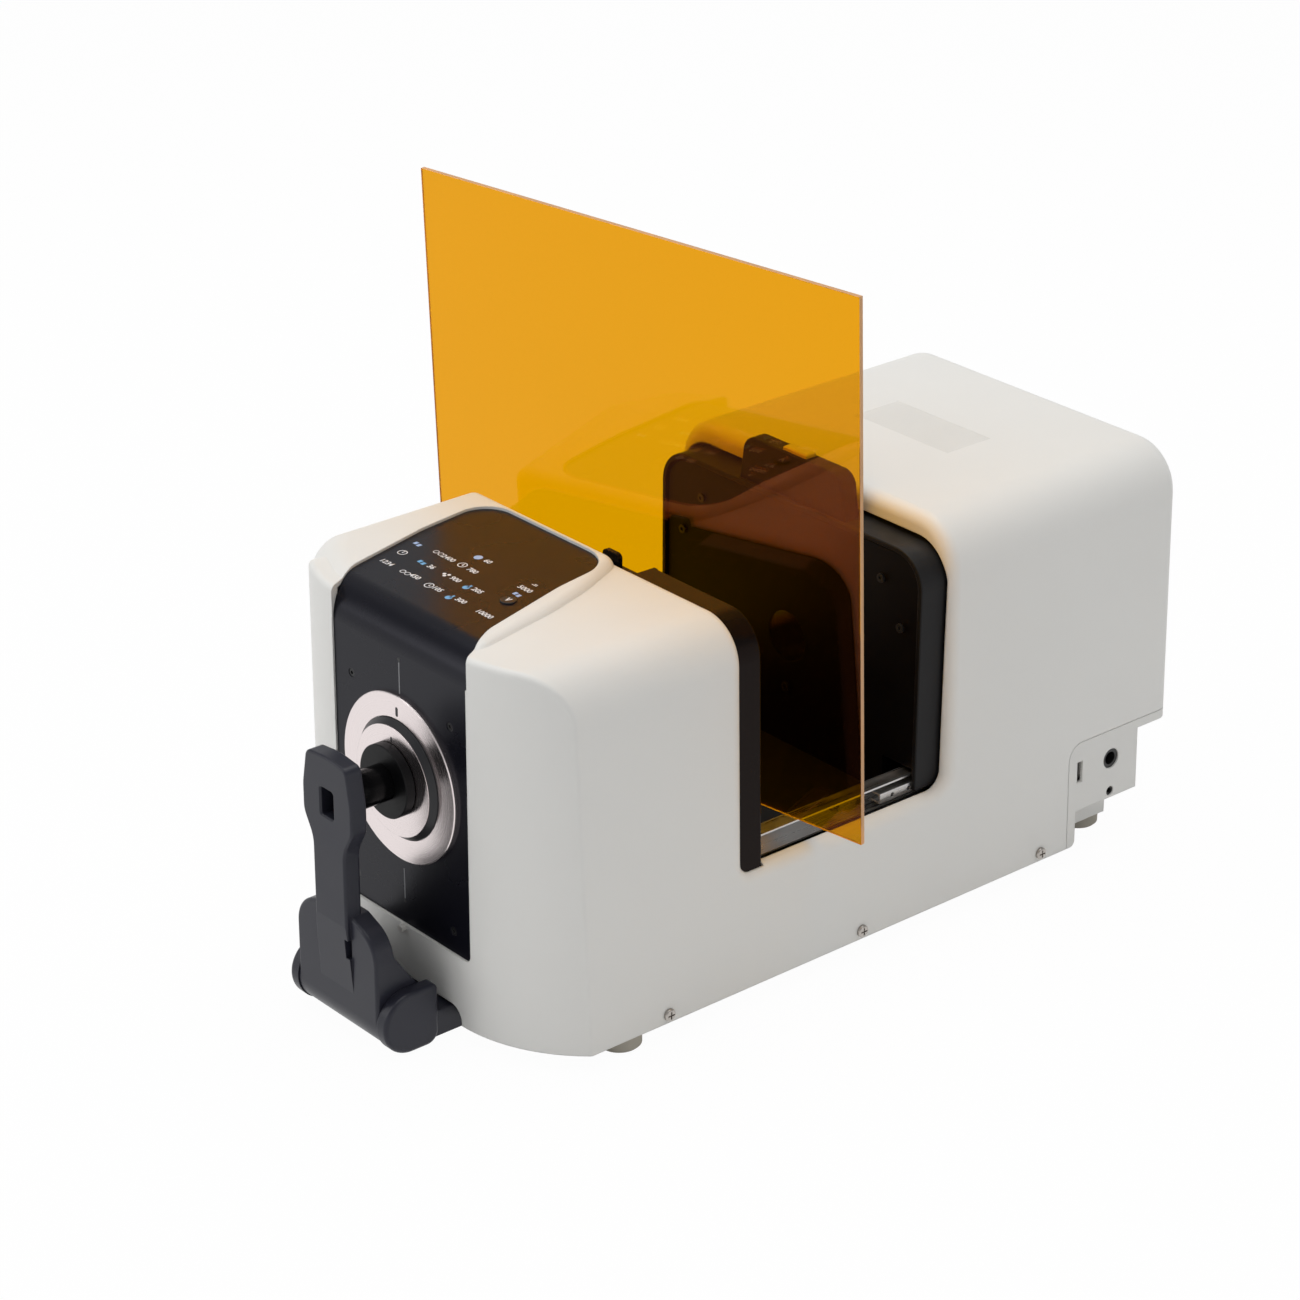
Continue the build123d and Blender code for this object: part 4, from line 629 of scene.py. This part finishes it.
nodeFinishes = {
    "front_panel": makeFinish("panelFilm", panelFilm),
    "target_mask": makeFinish("maskBlack", maskBlack),
    "front_band": makeFinish("bandGloss", bandGloss),
    "presser_shaft": makeFinish("shaftGloss", shaftGloss),
    "receiver_wall": makeFinish("receiverBlack", chamberBlack),
    "receiver_box": makeFinish("chamberBlack", chamberBlack),
}


# clear materials: the amber sheet, the lenses and the flash tube

def makeClear(name, look):
    material, tree, shader = startMaterial(name, look["shader"])
    surface = useEffect(tree, "grain", look["values"])
    rough = useEffect(tree, "smudge", look["smudge"], Roughness=surface["Roughness"])["Roughness"]
    bump = addNode(tree, "ShaderNodeBump", {"Height": surface["Height"], "Distance": look["relief"],
                                            "Strength": reliefStrength["clear"]})
    tree.links.new(surface["Colour"], shader.inputs["Base Color"])
    tree.links.new(rough, shader.inputs["Roughness"])
    tree.links.new(bump.outputs[0], shader.inputs["Normal"])
    # light that falls through the piece keeps its colour
    passed = addNode(tree, "ShaderNodeBsdfTransparent", {"Color": look["shadow"]})
    shadowRay = addNode(tree, "ShaderNodeLightPath").outputs["Is Shadow Ray"]
    mixed = addNode(tree, "ShaderNodeMixShader", {0: shadowRay, 1: shader.outputs[0], 2: passed.outputs[0]})
    tree.links.new(mixed.outputs[0], tree.nodes["Material Output"].inputs["Surface"])
    return material


amberAcrylic = {
    # the orange Specular Tint tints the sheet's own reflections orange, a painted reflection colour; it
    # also shifts the colour that passes through
    "shader": {"Transmission Weight": 1.0, "IOR": 1.6, "Specular Tint": (1.0, 0.2, 0.0, 1)},
    "values": {"Colour": (0.79, 0.345, 0.0, 1), "Shade": 0.012, "Roughness": 0.012, "Rough Spread": 0.006,
               "Cloud Scale": 5.0, "Grain Scale": 300.0},
    "smudge": {"Smudge": 0.03, "Scale": 22.0},
    "relief": 0.000005,
    "shadow": (1.0, 0.74, 0.10, 1),
}
opticGlass = {
    "shader": {"Transmission Weight": 1.0, "IOR": 1.52},
    "values": {"Colour": (0.93, 0.95, 0.94, 1), "Shade": 0.01, "Roughness": 0.01, "Rough Spread": 0.005,
               "Cloud Scale": 30.0, "Grain Scale": 600.0},
    "smudge": {"Smudge": 0.03, "Scale": 80.0},
    "relief": 0.000002,
    "shadow": (0.9, 0.92, 0.91, 1),
}
finishes["amber_sheet"] = makeClear("amberAcrylic", amberAcrylic)
finishes["lens_glass"] = makeClear("opticGlass", opticGlass)
finishes["flash_glass"] = makeClear("flashGlass", opticGlass)
coatedLens = {
    "shader": {"Specular IOR Level": 0.3, "IOR": 1.52},
    "surface": "grain",
    "values": {"Colour": (0.006, 0.005, 0.009, 1), "Shade": 0.1, "Roughness": 0.08, "Rough Spread": 0.02,
               "Cloud Scale": 60.0, "Grain Scale": 900.0},
    "smudge": {"Smudge": 0.02, "Scale": 120.0},
    "relief": 0.000002,
}
nodeFinishes["receiver_lens"] = makeFinish("coatedLens", coatedLens)

for part in frame["record"]["subparts"]:
    name = part["node"]
    for slot in frame["nodes"][name].material_slots:
        slot.material = nodeFinishes.get(name, finishes[part["material_slot"]])
print("materials: every packed node has its finish")


# new pieces

def newPiece(name, shape, material, body):
    bmesh.ops.recalc_face_normals(shape, faces=shape.faces)
    mesh = bpy.data.meshes.new(name)
    shape.to_mesh(mesh)
    shape.free()
    mesh.materials.append(material)
    piece = bpy.data.objects.new(name, mesh)
    bpy.context.scene.collection.objects.link(piece)
    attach(piece, body)
    return piece


sheetSize = {
    "width": 0.323,
    "thick": 0.003,
    "tall": 0.332,
    "yaw": 8.0,         # degrees, left side forward
    "lean": 2.7,
    "edge": 0.00035,    # polished corner
}
# the sheet's edge faces: a rough cut edge whose lighter pink-orange colour is partly a painted highlight
amberEdge = {
    "shader": {"Transmission Weight": 0.35, "IOR": 1.49},
    "surface": "grain",
    "values": {"Colour": (0.86, 0.46, 0.20, 1), "Shade": 0.06, "Roughness": 0.4, "Rough Spread": 0.08,
               "Cloud Scale": 40.0, "Grain Scale": 2600.0},
    "relief": 0.00003,
}


def makeSheet(size, edgeLook):
    low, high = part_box("sample_sheet")
    near = 0.0001    # how close to the outer face an edge's own face lies
    shape = bmesh.new()
    bmesh.ops.create_cube(shape, size=1)
    bmesh.ops.scale(shape, vec=(size["width"], size["thick"], size["tall"]), verts=shape.verts)
    bmesh.ops.bevel(shape, geom=shape.edges[:], offset=size["edge"], affect="EDGES", segments=2,
                    profile=0.5, material=-1)
    for face in shape.faces:
        middle = face.calc_center_median()
        if abs(middle.x) > size["width"] / 2 - near or abs(middle.z) > size["tall"] / 2 - near:
            face.material_index = 1
    yaw = Matrix.Rotation(math.radians(size["yaw"]), 4, "Z")
    lean = Matrix.Rotation(math.radians(size["lean"]), 4, "X")
    place = Matrix.Translation((low + high) / 2)
    bmesh.ops.transform(shape, matrix=place @ yaw @ lean, verts=shape.verts)
    piece = newPiece("sampleSheet", shape, finishes["amber_sheet"], "sample")
    piece.data.materials.append(makeFinish("amberEdge", edgeLook))
    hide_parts("sample_sheet")


makeSheet(sheetSize, amberEdge)
print("sheet: standing in its place")


# printed marks

def discMark(radius, sides=28):
    mark = bmesh.new()
    bmesh.ops.create_circle(mark, cap_ends=True, segments=sides, radius=radius)
    return mark


def ringMark(radius, width, sides=36):
    mark = discMark(radius, sides)
    inner = mark.faces[:]
    bmesh.ops.inset_region(mark, faces=inner, thickness=width, use_boundary=True)
    bmesh.ops.delete(mark, geom=inner, context="FACES_ONLY")
    return mark


def barMark(length, width):
    mark = bmesh.new()
    bmesh.ops.create_grid(mark, x_segments=1, y_segments=1, size=0.5)
    bmesh.ops.scale(mark, vec=(length, width, 1), verts=mark.verts)
    return mark


numberStyle = {"stroke": 0.02, "curveSteps": 3, "weld": 0.00001}    # stroke as a share of the height


def numberMark(text, height):
    curve = bpy.data.curves.new("number", "FONT")
    curve.body = text
    curve.size = height
    curve.align_x = "CENTER"
    curve.align_y = "CENTER"
    curve.resolution_u = numberStyle["curveSteps"]
    curve.offset = height * numberStyle["stroke"]
    word = bpy.data.objects.new("number", curve)
    mesh = bpy.data.meshes.new_from_object(word)
    mark = bmesh.new()
    mark.from_mesh(mesh)
    bmesh.ops.remove_doubles(mark, verts=mark.verts, dist=numberStyle["weld"])
    bpy.data.objects.remove(word)
    bpy.data.meshes.remove(mesh)
    bpy.data.curves.remove(curve)
    return mark


def addMark(target, mark, place, thick):    # gives the flat mark its thickness, then puts it in place
    lifted = bmesh.ops.extrude_face_region(mark, geom=mark.faces[:])
    risen = [item for item in lifted["geom"] if isinstance(item, bmesh.types.BMVert)]
    bmesh.ops.translate(mark, vec=(0, 0, thick), verts=risen)
    bmesh.ops.transform(mark, matrix=place, verts=mark.verts)
    holder = bpy.data.meshes.new("mark")
    mark.to_mesh(holder)
    mark.free()
    target.from_mesh(holder)
    bpy.data.meshes.remove(holder)


def makeInk(name, colour):
    return makeFinish(name, {
        "shader": {"Specular IOR Level": 0.4},
        "surface": "grain",
        "values": {"Colour": colour, "Shade": 0.04, "Roughness": 0.4, "Rough Spread": 0.06,
                   "Cloud Scale": 200.0, "Grain Scale": 4000.0},
        "relief": 0.00002,
    })


inks = {
    "white": makeInk("inkWhite", (0.82, 0.82, 0.84, 1)),
    "blue": makeInk("inkBlue", (0.16, 0.42, 0.72, 1)),
    "paleBlue": makeInk("inkPaleBlue", (0.36, 0.50, 0.78, 1)),
    "grey": makeInk("inkGrey", (0.20, 0.20, 0.21, 1)),
    "black": makeInk("inkBlack", (0.006, 0.006, 0.007, 1)),
}
inkThick = 0.00006
print("inks: ready")

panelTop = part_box("front_panel")[1].z
keypad = {    # millimetres on the top of the panel, x to the right and y to the back
    "digit": 5.4,
    "icons": [
        ("paleBlue", "pair", -74.7, -177.1), ("white", "switch", -70.8, -190.7),
        ("white", "ovals", -57.1, -175.5), ("blue", "pair", -52.8, -190.8),
        ("white", "ovals", -47.7, -206.2), ("paleBlue", "disc", -37.8, -162.2),
        ("white", "target", -35.3, -175.4), ("white", "dots", -30.7, -190.5),
        ("white", "target", -25.3, -206.6), ("blue", "flask", -9.9, -191.7),
        ("blue", "flask", -5.5, -207.3), ("white", "wave", 12.1, -162.0),
        ("paleBlue", "pair", 15.7, -177.1),
    ],
    "labels": [
        ("1234", -65.4, -205.9), ("2400", -47.7, -175.9), ("36", -44.4, -190.5), ("450", -39.7, -205.5),
        ("60", -29.8, -161.6), ("780", -25.4, -176.1), ("900", -22.2, -190.6), ("105", -18.3, -206.2),
        ("205", -2.3, -190.6), ("300", 2.3, -205.8), ("10000", 24.3, -206.8), ("5000", 12.8, -169.1),
    ],
}


iconShapes = {    # what each icon is drawn with: sizes, then the place from its centre, in metres
    "disc": [(discMark, (0.0027,), 0, 0)],
    "target": [(ringMark, (0.0030, 0.00055), 0, 0), (barMark, (0.0005, 0.0022), 0, 0.0006),
               (barMark, (0.0016, 0.0005), 0.0006, -0.0004)],
    "switch": [(ringMark, (0.0030, 0.0005), 0, 0), (barMark, (0.0006, 0.0026), 0, 0.0009)],
    "pair": [(barMark, (0.0024, 0.0030), -0.0018, 0.0003), (barMark, (0.0024, 0.0030), 0.0018, -0.0003)],
    "ovals": [(ringMark, (0.0019, 0.00045), -0.0021, 0), (ringMark, (0.0019, 0.00045), 0.0021, 0)],
    "dots": [(discMark, (0.0011, 16), -0.0016, 0), (discMark, (0.0011, 16), 0.0014, 0.0010),
             (discMark, (0.0011, 16), 0.0004, -0.0016)],
    "flask": [(discMark, (0.0022, 20), 0, -0.0010), (barMark, (0.0014, 0.0036), 0.0004, 0.0012)],
    "wave": [(barMark, (0.0040, 0.0005), 0, 0), (barMark, (0.0026, 0.0005), 0.0004, 0.0012)],
}


def makeKeypad(look):
    shapes = {ink: bmesh.new() for ink in ("white", "blue", "paleBlue")}
    for ink, kind, x, y in look["icons"]:
        for draw, sizes, dx, dy in iconShapes[kind]:
            place = Matrix.Translation((x / 1000 + dx, y / 1000 + dy, panelTop))
            addMark(shapes[ink], draw(*sizes), place, inkThick)
    for text, x, y in look["labels"]:
        place = Matrix.Translation((x / 1000, y / 1000, panelTop))
        addMark(shapes["white"], numberMark(text, look["digit"] / 1000), place, inkThick)
    newPiece("keypadWhite", shapes["white"], inks["white"], "body")
    newPiece("keypadBlue", shapes["blue"], inks["blue"], "body")
    newPiece("keypadPaleBlue", shapes["paleBlue"], inks["paleBlue"], "body")


makeKeypad(keypad)
print("keypad: icons and numbers are printed")

buttonMark = {"arm": 0.0042, "width": 0.0008, "open": 32.0}


def makeButtonMark(look):    # an open V near the front of the button
    low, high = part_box("measure_button")
    middle = (low + high) / 2
    shape = bmesh.new()
    for side in (-1, 1):
        turn = Matrix.Rotation(math.radians(90 - side * look["open"] / 2), 4, "Z")
        reach = Matrix.Translation((look["arm"] / 2, 0, 0))
        place = Matrix.Translation((middle.x, middle.y - look["arm"] / 2, high.z))
        addMark(shape, barMark(look["arm"], look["width"]), place @ turn @ reach, inkThick)
    newPiece("buttonMark", shape, inks["white"], "button")


makeButtonMark(buttonMark)

panelMarks = {
    "lines": [(197, 216), (69, 88)],    # heights of each line's ends, millimetres
    "width": 1.0,
    "dots": [217.6, 67.4],
    "dot": 1.2,
}


def facingFront(x, y, z):
    return Matrix.Translation((x, y, z)) @ Matrix.Rotation(math.radians(90), 4, "X")


def makePanelMarks(look):
    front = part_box("front_panel")[0].y
    lines = bmesh.new()
    dots = bmesh.new()
    for low, high in look["lines"]:
        bar = barMark(look["width"] / 1000, (high - low) / 1000)
        addMark(lines, bar, facingFront(0, front, (low + high) / 2000), inkThick)
    for height in look["dots"]:
        addMark(dots, discMark(look["dot"] / 1000, 20), facingFront(0, front, height / 1000), inkThick)
    newPiece("centreLines", lines, inks["grey"], "body")
    newPiece("centreDots", dots, inks["black"], "body")


makePanelMarks(panelMarks)

ringShadeAndMaskTick = {    # heights over the desk and widths, millimetres
    "ringLow": 183.6, "ringHigh": 189.4, "ringWidth": 2.2, "ringRound": 1.0476,
    "maskLow": 169.5, "maskHigh": 172.5, "maskWidth": 1.3,
}


def makeRingShadeAndMaskTick(look):
    ring = bmesh.new()
    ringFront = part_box("port_ring")[0].y
    bar = barMark(look["ringWidth"] / 1000, (look["ringHigh"] - look["ringLow"]) / 1000)
    bmesh.ops.bevel(bar, geom=bar.verts[:], offset=look["ringRound"] / 1000, affect="VERTICES", segments=4,
                    profile=0.5, material=-1)
    # the ring's dark pill is a flat black film laid where the ring has a groove: painted shade of the
    # groove
    addMark(ring, bar, facingFront(0, ringFront, (look["ringLow"] + look["ringHigh"]) / 2000), inkThick)
    newPiece("ringGrooveShade", ring, inks["black"], "body")
    mask = bmesh.new()
    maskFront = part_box("mask_plate")[0].y
    bar = barMark(look["maskWidth"] / 1000, (look["maskHigh"] - look["maskLow"]) / 1000)
    addMark(mask, bar, facingFront(0, maskFront, (look["maskLow"] + look["maskHigh"]) / 2000), inkThick)
    newPiece("maskTick", mask, inks["black"], "mask")


makeRingShadeAndMaskTick(ringShadeAndMaskTick)
print("marks: button, panel, ring and mask are marked")

sticker = {
    "corners": [(-44, 134), (36, 134), (36, 170), (-44, 170)],    # millimetres on the rear top
    "thick": 0.00008,
    "film": {
        "shader": {"Specular IOR Level": 0.5, "Alpha": 0.08},
        "surface": "grain",
        "values": {"Colour": (0.80, 0.80, 0.78, 1), "Shade": 0.02, "Roughness": 0.22, "Rough Spread": 0.05,
                   "Cloud Scale": 40.0, "Grain Scale": 1500.0},
        "relief": 0.00001,
    },
}


def makeSticker(look):    # a blank clear sticker
    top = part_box("outer_cover")[1].z
    film = bmesh.new()
    film.faces.new([film.verts.new((x / 1000, y / 1000, 0)) for x, y in look["corners"]])
    shape = bmesh.new()
    addMark(shape, film, Matrix.Translation((0, 0, top)), look["thick"])
    newPiece("blankSticker", shape, makeFinish("clearFilm", look["film"]), "body")


makeSticker(sticker)
print("sticker: on the rear top")


# studio

studio = {
    "floorColour": (0.86, 0.86, 0.86, 1),
    "floorRadius": 14.0,
    "floorDrop": 0.0001,      # so that the feet don't share its plane
    "floorWhite": 0.97,       # share of plain white that the camera and clear or shiny pieces see
    "worldLight": (0.97, 0.98, 1.0, 1),
    "worldStrength": 0.41,
    "backdropTop": (0.12, 0.4),    # where the white that shiny pieces see fades out, 1 is straight up
    "lamps": [    # name, place, size, watts
        ("topSoftbox", (-0.2, 0.1, 2.3), 2.2, 32.0),
        ("frontSoftbox", (-1.3, -2.3, 1.3), 1.4, 16.8),
        ("rightFill", (2.6, 0.4, 0.9), 1.2, 4.5),
    ],
    "aim": (0, 0, 0.14),
}


def makeFloor(look):
    material = bpy.data.materials.new("studioFloor")
    material.use_nodes = True
    tree = material.node_tree
    tree.nodes.remove(tree.nodes["Principled BSDF"])
    grain = useEffect(tree, "grain", {"Colour": look["floorColour"], "Shade": 0.004, "Cloud Scale": 2.0})
    matt = addNode(tree, "ShaderNodeBsdfDiffuse", {"Color": grain["Colour"]})
    white = addNode(tree, "ShaderNodeEmission", {"Color": (1, 1, 1, 1), "Strength": 1.0})
    path = addNode(tree, "ShaderNodeLightPath").outputs
    seen = calc(tree, "MAXIMUM", calc(tree, "MAXIMUM", path["Is Camera Ray"], path["Is Glossy Ray"]),
                path["Is Transmission Ray"])
    share = calc(tree, "MULTIPLY", seen, look["floorWhite"])
    mixed = addNode(tree, "ShaderNodeMixShader", {0: share, 1: matt.outputs[0], 2: white.outputs[0]})
    tree.links.new(mixed.outputs[0], tree.nodes["Material Output"].inputs["Surface"])
    shape = bmesh.new()
    bmesh.ops.create_circle(shape, cap_ends=True, segments=64, radius=look["floorRadius"])
    bmesh.ops.translate(shape, vec=(0, 0, -look["floorDrop"]), verts=shape.verts)
    mesh = bpy.data.meshes.new("studioFloor")
    shape.to_mesh(mesh)
    shape.free()
    mesh.materials.append(material)
    floor = bpy.data.objects.new("studioFloor", mesh)
    bpy.context.scene.collection.objects.link(floor)


def makeWorld(look):
    world = bpy.data.worlds.new("studioWorld")
    world.use_nodes = True
    tree = world.node_tree
    tree.nodes.clear()
    light = addNode(tree, "ShaderNodeBackground", {"Color": look["worldLight"],
                                                   "Strength": look["worldStrength"]})
    white = addNode(tree, "ShaderNodeBackground", {"Color": (1, 1, 1, 1), "Strength": 1.0})
    path = addNode(tree, "ShaderNodeLightPath").outputs
    direction = addNode(tree, "ShaderNodeTexCoord").outputs["Generated"]
    height = addNode(tree, "ShaderNodeSeparateXYZ", {0: direction}).outputs["Z"]
    bandLow, bandHigh = look["backdropTop"]
    lowBand = remap(tree, height, bandLow, bandHigh, 1.0, 0.0)
    shiny = calc(tree, "MULTIPLY", path["Is Glossy Ray"], lowBand)
    seen = calc(tree, "MAXIMUM", path["Is Camera Ray"], path["Is Transmission Ray"])
    seen = calc(tree, "MAXIMUM", seen, shiny)
    mixed = addNode(tree, "ShaderNodeMixShader", {0: seen, 1: light.outputs[0], 2: white.outputs[0]})
    out = addNode(tree, "ShaderNodeOutputWorld", {"Surface": mixed.outputs[0]})
    out.is_active_output = True
    bpy.context.scene.world = world


def makeLamps(look):
    for name, place, size, watts in look["lamps"]:
        data = bpy.data.lights.new(name, "AREA")
        data.shape = "SQUARE"
        data.size = size
        data.energy = watts
        lamp = bpy.data.objects.new(name, data)
        bpy.context.scene.collection.objects.link(lamp)
        aim = Vector(look["aim"]) - Vector(place)
        lamp.matrix_world = Matrix.Translation(place) @ aim.to_track_quat("-Z", "Y").to_matrix().to_4x4()


makeFloor(studio)
makeWorld(studio)
makeLamps(studio)
bpy.context.scene.view_settings.view_transform = "Standard"
print("studio: floor, world and lamps are set")
